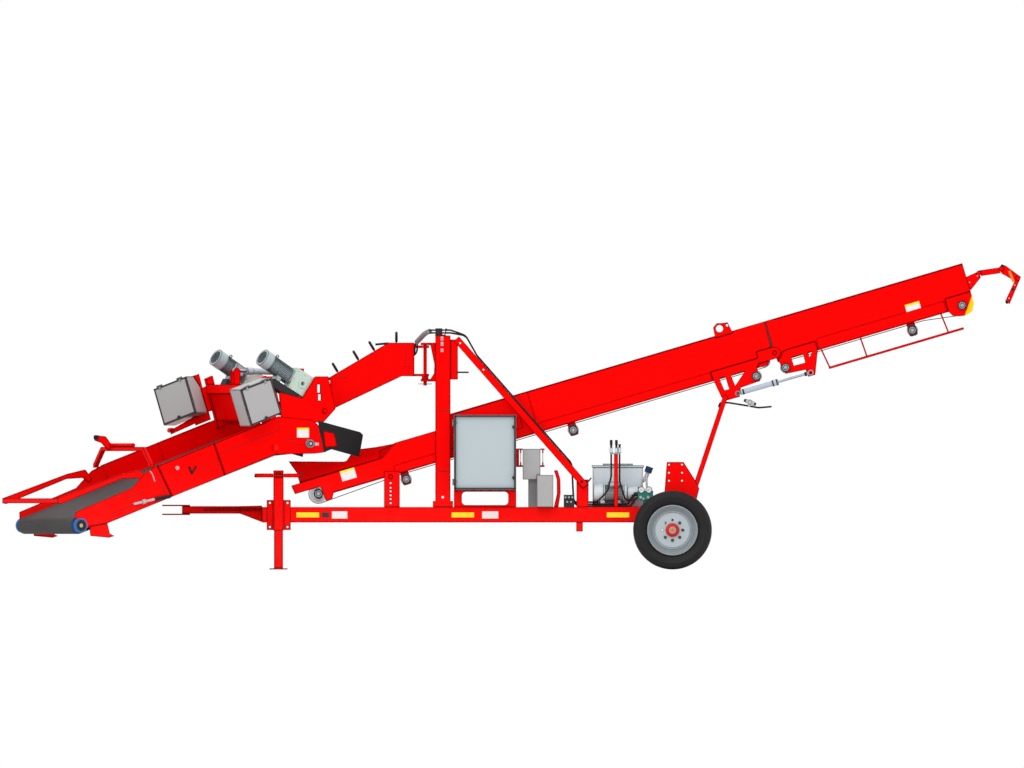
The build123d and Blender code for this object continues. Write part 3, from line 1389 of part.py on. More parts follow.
write("cabinet", cabinet.part)

with BuildPart() as cabinet_door:
    with BuildSketch(elevation(cabinet_front_y - seat)):
        with Locations((cabinet_middle_x, (cabinet_top_z + cabinet_bottom_z) / 2)):
            Rectangle(cabinet_width - 8, cabinet_height - 8)
    extrude(amount=cabinet_door_depth)
    for place in knuckle_planes(cabinet_hinge, Vector(0, -1, 0), Vector(0, 0, -1), cabinet_height,
                                False):
        extrude(hinge_section(place, False), amount=knuckle_length - 1)
write("cabinet_door", cabinet_door.part)

with BuildPart() as cabinet_stand:
    with BuildSketch(elevation(-rail_centre_y + 12)):
        with Locations((cabinet_middle_x, (rail_top_z + cabinet_bottom_z - seat) / 2)):
            Rectangle(cabinet_width, cabinet_bottom_z - seat - rail_top_z)
        with Locations((cabinet_middle_x, 711)):
            RectangleRounded(464, 133, 40, mode=Mode.SUBTRACT)
    extrude(amount=24)
    with Locations((cabinet_middle_x, cabinet_front_y / 2 + cabinet_back_y / 2,
                    cabinet_bottom_z - seat - 4)):
        Box(cabinet_width, cabinet_back_y - cabinet_front_y, 8)
write("cabinet_stand", cabinet_stand.part)

# Junction boxes, their posts and the valve blocks along the near rail and on the mast
junction_table = (   # x from, x to, y from and to off the rail's middle, z from, z to
    (-1498, -1321, -70, 50, 900, 1206),
    (-1356, -1192, -140, 20, rail_top_z, 946),
    (-1443, -1356 - seat, -30, 30, rail_top_z, 900),
    (-1088, -981, -40, 30, rail_top_z, 747),
    (mast_x - 75, mast_x - 5, -24, 24, mast_top_z + 8, mast_top_z + 72),
)
with BuildPart() as junction_boxes:
    for x0, x1, y0, y1, z0, z1 in junction_table:
        with Locations(((x0 + x1) / 2, (y0 + y1) / 2 - rail_centre_y, (z0 + z1) / 2)):
            Box(x1 - x0, y1 - y0, z1 - z0)
    # ports of the mast's valve block and fittings down its near post
    for z in (mast_top_z + 26, mast_top_z + 54):
        with BuildSketch(Plane.YZ.offset(mast_x - 102)):
            with Locations((-rail_centre_y, z)):
                RegularPolygon(9, 6)
        extrude(amount=122)
    with BuildSketch(elevation(-rail_outer_y - seat)):
        for z in (2310, 2256, 2192):
            with Locations((mast_x - 8, z)):
                RegularPolygon(12, 6)
    extrude(amount=16)
write("junction_boxes", junction_boxes.part)

# Hydraulic power pack: tank, motor and pump on a tray between the rails
tank_front_y = -430
tank_back_y = -100
filler_foot = Vector(-280, -400, 880)
power_motor_y = -side_outer_y + 46
power_motor_z = 764
with BuildPart() as power_tank:
    with Locations((-547, (tank_front_y + tank_back_y) / 2, (tray_z + 16 + 1021) / 2)):
        Box(505, tank_back_y - tank_front_y, 1021 - tray_z - 16)
        fillet(power_tank.edges().filter_by(Axis.Z), radius=18)
    with Locations((-547, (tank_front_y + tank_back_y) / 2, 1021 + 11)):
        Box(521, tank_back_y - tank_front_y + 16, 22)
    # inspection cover on top
    with Locations((-547, (tank_front_y + tank_back_y) / 2, 1051)):
        Box(300, 200, 16)
    # filler with its breather cap, leaning off the tank's end
    filler_run = Vector(sin(radians(20)), 0, cos(radians(20)))
    for along, length, radius in ((0, 96, 21), (94, 62, 37)):
        with BuildSketch(Plane(origin=filler_foot + filler_run * along, x_dir=(0, 1, 0),
                               z_dir=filler_run)):
            Circle(radius)
        extrude(amount=length)
    with BuildSketch(Plane.YZ.offset(-300)):
        with Locations((filler_foot.Y, filler_foot.Z + 10)):
            Circle(20)
    extrude(amount=filler_foot.X + 300)
write("power_tank", power_tank.part)

power_ribs = 30
with BuildPart() as power_motor:
    for x0, x1, r in ((-789, -690, 89), (-690, -672, 84), (-672, -500, 74), (-500, -484, 84),
                      (-484, -453, 89), (-453, -334, 62)):
        with BuildSketch(Plane.YZ.offset(x0)):
            with Locations((power_motor_y, power_motor_z)):
                Circle(r)
        extrude(amount=x1 - x0)
    with BuildSketch(Plane.YZ.offset(-675)):
        with Locations((power_motor_y, power_motor_z)):
            with PolarLocations(77, power_ribs):
                Rectangle(12, 4)
    extrude(amount=178)
    with Locations((-590, power_motor_y, power_motor_z + 92)):
        Box(110, 90, 44)
    for x in (-700, -540):
        with Locations((x, power_motor_y, (tray_z + 16 + power_motor_z - 70) / 2)):
            Box(50, 110, power_motor_z - 70 - tray_z - 16)
    # valve block on a bracket from the rail, with two gauges
    with Locations((-269, -rail_centre_y + 20, 739)):
        Box(152, 60, 98)
    with Locations((-269, -rail_centre_y + 20, (rail_top_z + seat + 700) / 2)):
        Box(60, 40, 700 - rail_top_z - seat)
    with BuildSketch(elevation(-rail_centre_y + 20)):
        for x in (-312, -236):
            with Locations((x, 797)):
                Circle(34)
    extrude(amount=38)
    with BuildSketch(elevation(-rail_centre_y - 10)):
        for x, z, r in ((-318, 722, 14), (-290, 708, 11), (-243, 722, 14), (-215, 708, 11)):
            with Locations((x, z)):
                Circle(r)
    extrude(amount=22)
    # couplers on top of their tube, with the plate that holds them
    with Locations((coupler_x - 8, coupler_y, coupler_z + seat + 6)):
        Box(104, 44, 12)
    for x, rise in ((coupler_x - 48, 132), (coupler_x + 4, 132), (coupler_x + 36, 62)):
        for z0, length, r in ((0, 56, 17), (54, 30, 11), (82, rise - 82, 14)):
            with BuildSketch(Plane.XY.offset(coupler_z + seat + 10 + z0)):
                with Locations((x, coupler_y)):
                    Circle(r)
            extrude(amount=max(length, 8))
write("power_motor", power_motor.part)

# Hydraulic hoses: down the near brace, from the couplers, and across between the support legs
hose_radius = 9
hose_y = -rail_centre_y - 6 - seat - 19
rail_hose_z = rail_top_z + hose_radius + seat
brace_run = (cos(radians(brace_lean)), sin(radians(brace_lean)))
brace_off = brace_width / 2 + hose_radius + seat


def beside_brace(along, off):
    """X and Z of a point along the near brace from its top, off its upper edge."""
    return (brace_top[0] + brace_run[0] * along - brace_run[1] * off,
            brace_top[1] + brace_run[1] * along + brace_run[0] * off)


inner_hose_y = -rail_inner_y + hose_radius + 13
valve_left_x = -345 - seat
leg_hose_y = -leg_plane_y + hose_radius + seat
entry = beside_brace(260, brace_off)
leave = beside_brace(1560, brace_off)
inside = beside_brace(1700, brace_off)
brace_hose_table = (   # port, shift along y, crest, lift off the rail, start of the rise, end
    (54, -12, 20, 0, -420, 715),
    (26, 12, 8, 2 * hose_radius + 1, -450, 745),
)
with BuildPart() as hoses:
    # two hoses from the mast's valve block down the near brace to the power pack
    for port_z, y_shift, crest, lift, rise_x, end_z in brace_hose_table:
        with BuildLine() as brace_hose:
            FilletPolyline(
                (mast_x + 20 + seat, -rail_centre_y, mast_top_z + port_z),
                (mast_x + 75, -rail_centre_y, mast_top_z + port_z),
                (mast_x + 175, hose_y + y_shift, mast_top_z + crest),
                (entry[0] - 110, hose_y + y_shift, mast_top_z - 2),
                (entry[0], hose_y + y_shift, entry[1]),
                (leave[0], hose_y + y_shift, leave[1]),
                (inside[0], inner_hose_y + y_shift, inside[1]),
                (inside[0] + 20, inner_hose_y + y_shift, rail_hose_z + lift),
                (-812, inner_hose_y + y_shift, rail_hose_z + lift),
                (-742, -rail_inner_y - 12, rail_hose_z + lift),
                (rise_x, -rail_inner_y - 12, rail_hose_z + lift),
                (rise_x + 55, -rail_inner_y - 12, end_z),
                (valve_left_x, -rail_inner_y - 12, end_z),
                radius=(25, 50, 90, 90, 120, 90, 70, 60, 60, 25, 20))
        with BuildSketch(Plane(origin=brace_hose.line @ 0, z_dir=brace_hose.line % 0)):
            Circle(hose_radius)
        sweep(path=brace_hose.line)
    # hose from the left coupler round the brace's post to the small valve block
    with BuildLine() as left_hose:
        FilletPolyline((coupler_x - 48, coupler_y, coupler_z), (coupler_x - 48, coupler_y, 930),
                       (-650, coupler_y, 780), (-760, coupler_y, rail_hose_z + 40),
                       (-826, inner_hose_y + 34, rail_hose_z + 40),
                       (-1060, inner_hose_y + 34, rail_hose_z + 40),
                       (-1060, -rail_centre_y + 30 + seat, rail_hose_z + 40),
                       radius=(160, 160, 70, 40, 18))
    with BuildSketch(Plane(origin=left_hose.line @ 0, z_dir=left_hose.line % 0)):
        Circle(hose_radius)
    sweep(path=left_hose.line)
    # hose from the right coupler to the power pack's valve block
    with BuildLine() as right_hose:
        FilletPolyline((coupler_x + 36, coupler_y, coupler_z), (coupler_x + 36, coupler_y, 880),
                       (-470, coupler_y, 690), (-400, -rail_centre_y, 690),
                       (-380, -rail_centre_y, 765), (valve_left_x, -rail_centre_y, 765),
                       radius=(160, 50, 30, 16))
    with BuildSketch(Plane(origin=right_hose.line @ 0, z_dir=right_hose.line % 0)):
        Circle(hose_radius)
    sweep(path=right_hose.line)
    # hose between the support legs for the pair of fold cylinders
    with BuildLine() as leg_hose:
        FilletPolyline((497, leg_hose_y, 1590), (462, leg_hose_y, 1632), (478, leg_hose_y, 1666),
                       (560, leg_hose_y, 1668), (735, leg_hose_y, 1640), (860, leg_hose_y, 1618),
                       (985, leg_hose_y + 80, 1628), (985, -leg_hose_y - 80, 1628),
                       (860, -leg_hose_y, 1618), (735, -leg_hose_y, 1640),
                       (560, -leg_hose_y, 1668), (478, -leg_hose_y, 1666),
                       (462, -leg_hose_y, 1632), (497, -leg_hose_y, 1590),
                       radius=(14, 14, 60, 100, 60, 60, 60, 60, 100, 60, 14, 14))
    with BuildSketch(Plane(origin=leg_hose.line @ 0, z_dir=leg_hose.line % 0)):
        Circle(hose_radius)
    sweep(path=leg_hose.line)
write("hoses", hoses.part)

# Parking jack on the near rail: outer tube, inner leg and foot
jack_x = -3940
jack_y = -rail_outer_y - 60
jack_plate_y = -rail_outer_y
with BuildPart() as jack_tube:
    with BuildSketch(elevation(jack_plate_y)):
        with Locations((-3938, 545)):
            Rectangle(240, 300)
        for x in (-4026, -3850):
            for z in (425, 666):
                with Locations((x, z)):
                    Circle(10, mode=Mode.SUBTRACT)
    extrude(amount=12)
    with BuildSketch(Plane.XY.offset(390)):
        with Locations((jack_x, jack_y)):
            RectangleRounded(103, 103, 10)
            RectangleRounded(91, 91, 6, mode=Mode.SUBTRACT)
    extrude(amount=584)
    with BuildSketch(Plane.XY.offset(974)):
        with Locations((jack_x, jack_y)):
            RectangleRounded(103, 103, 10)
    extrude(amount=17)
    with BuildSketch(Plane.XY.offset(926)):
        with Locations((-3950, jack_y - 62)):
            SlotOverall(464, 22)
    extrude(amount=22)
    with Locations((jack_x, jack_y - 56, 945)):
        Box(40, 14, 40)
write("jack_tube", jack_tube.part)

with BuildPart() as jack_leg:
    with BuildSketch(Plane.XY.offset(12)):
        with Locations((jack_x, jack_y)):
            RectangleRounded(90, 90, 6)
            RectangleRounded(78, 78, 3, mode=Mode.SUBTRACT)
    extrude(amount=640)
    with BuildSketch(Plane.XY):
        with Locations((jack_x, jack_y)):
            RectangleRounded(180, 180, 20)
    extrude(amount=12)
write("jack_leg", jack_leg.part)
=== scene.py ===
from math import cos, pi, radians, sin

import bmesh
import bpy
from mathutils import Matrix, Vector


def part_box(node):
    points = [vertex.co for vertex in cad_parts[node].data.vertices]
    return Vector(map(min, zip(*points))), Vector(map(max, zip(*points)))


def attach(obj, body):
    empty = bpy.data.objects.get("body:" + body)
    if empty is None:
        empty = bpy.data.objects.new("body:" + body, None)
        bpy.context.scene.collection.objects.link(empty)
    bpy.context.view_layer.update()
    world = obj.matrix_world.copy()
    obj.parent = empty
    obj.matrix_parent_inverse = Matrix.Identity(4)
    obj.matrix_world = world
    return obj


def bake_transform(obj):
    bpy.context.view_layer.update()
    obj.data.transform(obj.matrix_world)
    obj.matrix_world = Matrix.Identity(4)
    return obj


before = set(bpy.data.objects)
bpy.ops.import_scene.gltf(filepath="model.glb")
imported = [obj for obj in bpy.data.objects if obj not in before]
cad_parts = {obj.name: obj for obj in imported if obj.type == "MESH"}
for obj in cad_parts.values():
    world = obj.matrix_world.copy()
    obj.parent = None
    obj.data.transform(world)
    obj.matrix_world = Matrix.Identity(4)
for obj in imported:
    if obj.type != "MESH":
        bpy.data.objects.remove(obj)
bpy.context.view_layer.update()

# Viewpoint: the machine is seen square from its cabinet side, with no perspective, so the frame of
# the view is a plain window, 10.24 m wide and 7.68 m high.
view_distance = 20
viewpoint_data = bpy.data.cameras.new("viewpoint")
viewpoint_data.type = "ORTHO"
viewpoint_data.ortho_scale = 10.24
viewpoint_data.clip_end = 5 * view_distance
viewpoint = bpy.data.objects.new("viewpoint", viewpoint_data)
bpy.context.scene.collection.objects.link(viewpoint)
viewpoint.location = (-1.605, -view_distance, 1.855)
viewpoint.rotation_euler = (pi / 2, 0, 0)
bpy.context.scene.camera = viewpoint
bpy.context.scene.view_settings.view_transform = "Standard"

# Studio: a pale floor that the wheels and the jack's foot stand on, an even white surround and
# two large soft lamps, one high on the near side and one overhead.
floor_mesh = bpy.data.meshes.new("studio_floor")
floor_bm = bmesh.new()
bmesh.ops.create_grid(floor_bm, x_segments=1, y_segments=1, size=40)
floor_bm.to_mesh(floor_mesh)
floor_bm.free()
floor = bpy.data.objects.new("studio_floor", floor_mesh)
bpy.context.scene.collection.objects.link(floor)
floor_material = bpy.data.materials.new("studio_floor")
floor_material.use_nodes = True
floor_shader = floor_material.node_tree.nodes["Principled BSDF"]
floor_shader.inputs["Base Color"].default_value = (0.82, 0.82, 0.82, 1)
floor_shader.inputs["Roughness"].default_value = 0.9
floor_shader.inputs["Specular IOR Level"].default_value = 0.1
floor_mesh.materials.append(floor_material)

surround = bpy.data.worlds.new("surround")
surround.use_nodes = True
surround_light = surround.node_tree.nodes["Background"]
surround_light.inputs["Color"].default_value = (1, 1, 1, 1)
surround_light.inputs["Strength"].default_value = 1.0
bpy.context.scene.world = surround
for lamp_name, lamp_place, lamp_turn, lamp_size, lamp_power in (
        ("near_lamp", (-4.0, -9.0, 8.0), (radians(50), 0, radians(-12)), 7.0, 300),
        ("top_lamp", (-1.0, 0.5, 10.0), (0, 0, 0), 9.0, 260)):
    lamp_data = bpy.data.lights.new(lamp_name, "AREA")
    lamp_data.shape = "SQUARE"
    lamp_data.size = lamp_size
    lamp_data.energy = lamp_power
    lamp = bpy.data.objects.new(lamp_name, lamp_data)
    lamp.location = lamp_place
    lamp.rotation_euler = lamp_turn
    bpy.context.scene.collection.objects.link(lamp)

# Painted steelwork: rails, mast, arm, conveyor and boom plates, all welded, primed and sprayed
# in one bright red. The seams and plate edges hold a thin dark line, and the low parts hold dust.


def group_shell(name, inputs, outputs):
    """A new shader node group with float inputs (name, default) and outputs (name)."""
    group = bpy.data.node_groups.new(name, "ShaderNodeTree")
    for socket_name, value in inputs:
        socket = group.interface.new_socket(socket_name, in_out="INPUT",
                                            socket_type="NodeSocketFloat")
        socket.default_value = value
    for socket_name in outputs:
        group.interface.new_socket(socket_name, in_out="OUTPUT", socket_type="NodeSocketFloat")
    return group, group.nodes.new("NodeGroupInput"), group.nodes.new("NodeGroupOutput")


def feed(tree, socket, value):
    """Links a node's input to a socket, or sets a plain value on it."""
    if isinstance(value, bpy.types.NodeSocket):
        tree.links.new(value, socket)
    else:
        socket.default_value = value


def math_node(tree, operation, a, b, clamp=False):
    """A Math node on two sockets or numbers; returns its output."""
    node = tree.nodes.new("ShaderNodeMath")
    node.operation = operation
    node.use_clamp = clamp
    feed(tree, node.inputs[0], a)
    feed(tree, node.inputs[1], b)
    return node.outputs[0]


def vector_node(tree, operation, a, b, output="Value"):
    """A Vector Math node on two sockets or vectors; returns one of its outputs."""
    node = tree.nodes.new("ShaderNodeVectorMath")
    node.operation = operation
    feed(tree, node.inputs[0], a)
    feed(tree, node.inputs[1], b)
    return node.outputs[output]


def noise_node(tree, scale, detail, place):
    """A Noise texture on the given coordinates; returns its factor."""
    node = tree.nodes.new("ShaderNodeTexNoise")
    node.inputs["Detail"].default_value = detail
    feed(tree, node.inputs["Scale"], scale)
    feed(tree, node.inputs["Vector"], place)
    return node.outputs["Fac"]


# Seam line: marks edges by comparing the true face with one rounded over the line's width
seam_gain = 14.0
seam_line, seam_in, seam_out = group_shell("seam line", (("Width", 0.006), ("Strength", 1.0)),
                                           ("Mask",))
seam_bevel = seam_line.nodes.new("ShaderNodeBevel")
seam_bevel.samples = 6
seam_line.links.new(seam_in.outputs["Width"], seam_bevel.inputs["Radius"])
seam_face = seam_line.nodes.new("ShaderNodeNewGeometry")
seam_likeness = vector_node(seam_line, "DOT_PRODUCT", seam_bevel.outputs["Normal"],
                            seam_face.outputs["True Normal"])
seam_open = math_node(seam_line, "SUBTRACT", 1.0, seam_likeness)
seam_wide = math_node(seam_line, "MULTIPLY", seam_open, seam_gain, clamp=True)
seam_line.links.new(math_node(seam_line, "MULTIPLY", seam_wide, seam_in.outputs["Strength"],
                              clamp=True), seam_out.inputs["Mask"])

# Sprayed coat: slow tone drift and the fine ripple of sprayed paint
fine_scale = 38.0
drift_share = 0.7
spray_coat, spray_in, spray_out = group_shell("sprayed coat", (("Drift", 0.9), ("Ripple", 160.0)),
                                              ("Tone", "Height"))
spray_place = spray_coat.nodes.new("ShaderNodeTexCoord").outputs["Object"]
spray_drift = noise_node(spray_coat, spray_in.outputs["Drift"], 4.0, spray_place)
spray_fine = noise_node(spray_coat, fine_scale, 3.0, spray_place)
spray_mix = math_node(spray_coat, "ADD",
                      math_node(spray_coat, "MULTIPLY", spray_drift, drift_share),
                      math_node(spray_coat, "MULTIPLY", spray_fine, 1 - drift_share))
spray_coat.links.new(spray_mix, spray_out.inputs["Tone"])
spray_coat.links.new(noise_node(spray_coat, spray_in.outputs["Ripple"], 2.0, spray_place),
                     spray_out.inputs["Height"])

# Road dust: settles in patches on the low parts
patch_scale = 9.0
patch_gain = 1.6
road_dust, dust_in, dust_out = group_shell("road dust", (("Reach", 0.9), ("Amount", 0.35)),
                                           ("Mask",))
dust_place = road_dust.nodes.new("ShaderNodeTexCoord").outputs["Object"]
dust_split = road_dust.nodes.new("ShaderNodeSeparateXYZ")
road_dust.links.new(dust_place, dust_split.inputs[0])
dust_height = math_node(road_dust, "DIVIDE", dust_split.outputs["Z"], dust_in.outputs["Reach"])
dust_low = math_node(road_dust, "SUBTRACT", 1.0, dust_height, clamp=True)
dust_patch = math_node(road_dust, "MULTIPLY", noise_node(road_dust, patch_scale, 6.0, dust_place),
                       patch_gain, clamp=True)
dust_mask = math_node(road_dust, "MULTIPLY", dust_low, dust_patch, clamp=True)
road_dust.links.new(math_node(road_dust, "MULTIPLY", dust_mask, dust_in.outputs["Amount"],
                              clamp=True), dust_out.inputs["Mask"])


def place_group(tree, group, **values):
    """Puts a node group in a material and sets its own values."""
    node = tree.nodes.new("ShaderNodeGroup")
    node.node_tree = group
    for socket_name, value in values.items():
        node.inputs[socket_name].default_value = value
    return node


def mix_colour(tree, mask, first, second):
    """Mixes a colour or colour socket with a plain colour by a mask; returns the result."""
    node = tree.nodes.new("ShaderNodeMix")
    node.data_type = "RGBA"
    feed(tree, node.inputs[0], mask)
    feed(tree, node.inputs[6], (*first, 1) if isinstance(first, tuple) else first)
    feed(tree, node.inputs[7], (*second, 1))
    return node.outputs[2]


def new_finish(name, drift, ripple):
    """A new material with a sprayed coat; returns it with its tree, shader and coat."""
    material = bpy.data.materials.new(name)
    material.use_nodes = True
    tree = material.node_tree
    spray = place_group(tree, spray_coat, Drift=drift, Ripple=ripple)
    return material, tree, tree.nodes["Principled BSDF"], spray


def layer_colours(tree, shader, spray, colour, shade, *layers):
    """Colours a shader: two tones by the coat, then each layer's colour by its own mask."""
    result = mix_colour(tree, spray.outputs["Tone"], colour, shade)
    for layer, layer_colour in layers:
        result = mix_colour(tree, layer.outputs["Mask"], result, layer_colour)
    tree.links.new(result, shader.inputs["Base Color"])


def add_ripple(tree, shader, height, distance, strength):
    """Bumps a shader's surface by a height."""
    bump = tree.nodes.new("ShaderNodeBump")
    bump.inputs["Distance"].default_value = distance
    bump.inputs["Strength"].default_value = strength
    tree.links.new(height, bump.inputs["Height"])
    tree.links.new(bump.outputs["Normal"], shader.inputs["Normal"])


def sprayed_paint(name, colour, shade, line, rough=0.45, seam=0.016, coat=0.04, specular=0.12):
    """Sprayed paint: body colour with its darker shade, seam lines, dust, ripple and a coat."""
    material, tree, shader, spray = new_finish(name, drift=0.9, ripple=160.0)
    seams = place_group(tree, seam_line, Width=seam, Strength=1.0)
    dirt = place_group(tree, road_dust, Reach=1.1, Amount=0.05)
    dust_brown = (0.30, 0.24, 0.18)
    layer_colours(tree, shader, spray, colour, shade, (seams, line), (dirt, dust_brown))
    tone_rough = 0.16
    dust_rough = 0.4
    worn = math_node(tree, "ADD", math_node(tree, "MULTIPLY", spray.outputs["Tone"], tone_rough),
                     rough - tone_rough / 2)
    dusty = math_node(tree, "MULTIPLY", dirt.outputs["Mask"], dust_rough)
    tree.links.new(math_node(tree, "ADD", worn, dusty, clamp=True), shader.inputs["Roughness"])
    add_ripple(tree, shader, spray.outputs["Height"], distance=0.0006, strength=0.35)
    shader.inputs["Coat Weight"].default_value = coat
    shader.inputs["Coat Roughness"].default_value = 0.12
    shader.inputs["Specular IOR Level"].default_value = specular
    return material


def dress(material, *nodes):
    """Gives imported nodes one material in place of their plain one."""
    for node in nodes:
        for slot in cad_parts[node].material_slots:
            slot.material = material


red_paint = sprayed_paint("red paint", (0.97, 0.0, 0.0), (0.90, 0.0, 0.0), (0.045, 0.0, 0.0),
                          seam=0.020, coat=0.0, specular=0.03)
dress(red_paint, "chassis_rails", "cross_members", "drawbar", "axle", "axle_towers",
      "support_legs", "front_posts", "mast", "mast_braces", "conveyor_side_near",
      "conveyor_side_far", "hopper_wall", "conveyor_bed", "head_side_near", "head_side_far",
      "head_bed", "head_guard", "arm", "yoke", "boom_side_near", "boom_side_far", "boom_towers",
      "boom_bed", "boom_gate", "boom_guard", "cabinet_stand", "jack_tube", "jack_leg",
      "sensor_arm")
dark_paint = sprayed_paint("dark channel paint", (0.035, 0.035, 0.038), (0.022, 0.022, 0.025),
                           (0.01, 0.01, 0.01), rough=0.5, coat=0.1)
dress(dark_paint, "motor_frame")

# Belts, tyres, skirts and hoses: three rubbers. The belts are dark grey and a little dusty, the
# tyres near black with a grey bloom, and the skirts and hoses plain black.


def rubber(name, colour, pale, rough, dust):
    """Rubber: two tones by noise, dust on the low parts, and a fine matt grain."""
    material, tree, shader, spray = new_finish(name, drift=2.5, ripple=240.0)
    dirt = place_group(tree, road_dust, Reach=1.4, Amount=dust)
    dust_grey = (0.26, 0.22, 0.18)
    layer_colours(tree, shader, spray, colour, pale, (dirt, dust_grey))
    shader.inputs["Roughness"].default_value = rough
    shader.inputs["Specular IOR Level"].default_value = 0.3
    add_ripple(tree, shader, spray.outputs["Height"], distance=0.0008, strength=0.5)
    return material


belt_rubber = rubber("belt rubber", (0.030, 0.030, 0.031), (0.060, 0.060, 0.062), 0.72, 0.04)
dress(belt_rubber, "conveyor_belt", "head_belt", "boom_belt")
tyre_rubber = rubber("tyre rubber", (0.0035, 0.0035, 0.0038), (0.0075, 0.0075, 0.008), 0.6, 0.012)
dress(tyre_rubber, "tyre_near", "tyre_far")
skirt_rubber = rubber("skirt rubber", (0.004, 0.004, 0.0045), (0.010, 0.010, 0.011), 0.6, 0.0)
dress(skirt_rubber, "chute_skirts", "hoses")

# Enamelled units: rims, cabinets, motors, barrels and the power pack carry a blue-grey or light
# grey coat, and the hubs a deeper red. Each coat is sprayed over the closed housing.
rim_enamel = sprayed_paint("rim enamel", (0.50, 0.57, 0.60), (0.42, 0.49, 0.52),
                           (0.10, 0.12, 0.13), rough=0.42)
dress(rim_enamel, "rim_near", "rim_far")
cabinet_enamel = sprayed_paint("cabinet enamel", (0.47, 0.54, 0.57), (0.42, 0.49, 0.52),
                               (0.07, 0.08, 0.09), rough=0.4)
dress(cabinet_enamel, "cabinet", "cabinet_door")
box_enamel = sprayed_paint("box enamel", (0.42, 0.42, 0.42), (0.36, 0.36, 0.36),
                           (0.06, 0.06, 0.06), rough=0.4)
dress(box_enamel, "control_boxes", "near_box_door", "far_box_door", "junction_boxes")
motor_enamel = sprayed_paint("motor enamel", (0.42, 0.50, 0.53), (0.34, 0.41, 0.44),
                             (0.04, 0.05, 0.05), rough=0.35)
dress(motor_enamel, "gear_motors")
pack_enamel = sprayed_paint("pack enamel", (0.66, 0.75, 0.79), (0.58, 0.67, 0.71),
                            (0.04, 0.05, 0.05), rough=0.35)
dress(pack_enamel, "power_motor")
tank_enamel = sprayed_paint("tank enamel", (0.66, 0.76, 0.80), (0.60, 0.70, 0.74),
                            (0.03, 0.04, 0.04), rough=0.35)
dress(tank_enamel, "power_tank")
barrel_enamel = sprayed_paint("barrel enamel", (0.48, 0.56, 0.64), (0.42, 0.50, 0.57),
                              (0.04, 0.05, 0.06), rough=0.3)
dress(barrel_enamel, "fold_barrels", "tilt_barrel")
hub_paint = sprayed_paint("hub paint", (0.86, 0.01, 0.01), (0.76, 0.008, 0.008),
                          (0.10, 0.01, 0.01), rough=0.4)
dress(hub_paint, "hub_near", "hub_far")

# Rollers, rods and bearings: ground steel rollers and chromed rods stay bare. The boom's drums,
# the cast bearings and the arm's hose rings carry a thin coat of grey, black or dark red.


def scaled(colour, share):
    """A colour darkened to a share of itself."""
    return tuple(part * share for part in colour)


def bare_metal(name, colour, rough):
    """Bare metal with fine machining noise and darker seams."""
    material, tree, shader, spray = new_finish(name, drift=6.0, ripple=400.0)
    seams = place_group(tree, seam_line, Width=0.003, Strength=0.7)
    oil_brown = (0.05, 0.045, 0.04)
    layer_colours(tree, shader, spray, colour, scaled(colour, 0.72), (seams, oil_brown))
    shader.inputs["Metallic"].default_value = 1.0
    tone_rough = 0.2
    tree.links.new(math_node(tree, "ADD",
                             math_node(tree, "MULTIPLY", spray.outputs["Tone"], tone_rough),
                             rough), shader.inputs["Roughness"])
    return material


roller_steel = bare_metal("roller steel", (0.55, 0.56, 0.57), 0.25)
dress(roller_steel, "conveyor_rollers", "head_rollers")
drum_steel = sprayed_paint("drum steel", (0.34, 0.36, 0.37), (0.28, 0.30, 0.31),
                           (0.03, 0.03, 0.03), rough=0.35)
dress(drum_steel, "boom_rollers")
chrome = bare_metal("chrome", (0.42, 0.47, 0.52), 0.2)
dress(chrome, "fold_rods", "tilt_rod")
bearing_iron = sprayed_paint("bearing iron", (0.03, 0.03, 0.034), (0.02, 0.02, 0.022),
                             (0.008, 0.008, 0.008), rough=0.45, coat=0.1)
dress(bearing_iron, "conveyor_bearings", "head_bearings")
arm_ring_paint = sprayed_paint("arm ring paint", (0.035, 0.008, 0.008), (0.02, 0.005, 0.005),
                               (0.008, 0.004, 0.004), rough=0.5)
dress(arm_ring_paint, "arm_rings")

# Rail plates: bare self-adhesive plates and yellow reflectors on the near rail. They are thin
# plastic film with rounded corners, and carry no text.


def finish_piece(name, bm, material, body, smooth=False):
    """Closes a bmesh as a piece with one material. It rides on the body, if one is given."""
    bmesh.ops.recalc_face_normals(bm, faces=bm.faces)
    for face in bm.faces:
        face.smooth = smooth
    mesh = bpy.data.meshes.new(name)
    bm.to_mesh(mesh)
    bm.free()
    mesh.materials.append(material)
    piece = bpy.data.objects.new(name, mesh)
    bpy.context.scene.collection.objects.link(piece)
    if smooth:
        mesh.set_sharp_from_angle(angle=radians(35))
    if body:
        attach(piece, body)
    return piece


def add_slab(bm, centre, across, up, width, height, depth, bevel=0.001):
    """A block with rounded edges: its width runs along across and its height along up."""
    across = Vector(across).normalized()
    up = Vector(up).normalized()
    turn = Matrix((across, up.cross(across), up)).transposed().to_4x4()
    made = bmesh.ops.create_cube(bm, size=1.0)
    bmesh.ops.scale(bm, vec=(width, depth, height), verts=made["verts"])
    bmesh.ops.transform(bm, matrix=Matrix.Translation(centre) @ turn, verts=made["verts"])
    edges = list({edge for vert in made["verts"] for edge in vert.link_edges})
    bmesh.ops.bevel(bm, geom=edges, offset=bevel, affect="EDGES", segments=2, profile=0.5,
                    material=-1)


def film(name, colour, rough, specular):
    """Printed film: one colour with a faint cloudiness and a darker cut edge."""
    material, tree, shader, spray = new_finish(name, drift=30.0, ripple=300.0)
    seams = place_group(tree, seam_line, Width=0.003, Strength=0.6)
    layer_colours(tree, shader, spray, colour, scaled(colour, 0.88), (seams, scaled(colour, 0.3)))
    shader.inputs["Roughness"].default_value = rough
    shader.inputs["Specular IOR Level"].default_value = specular
    return material


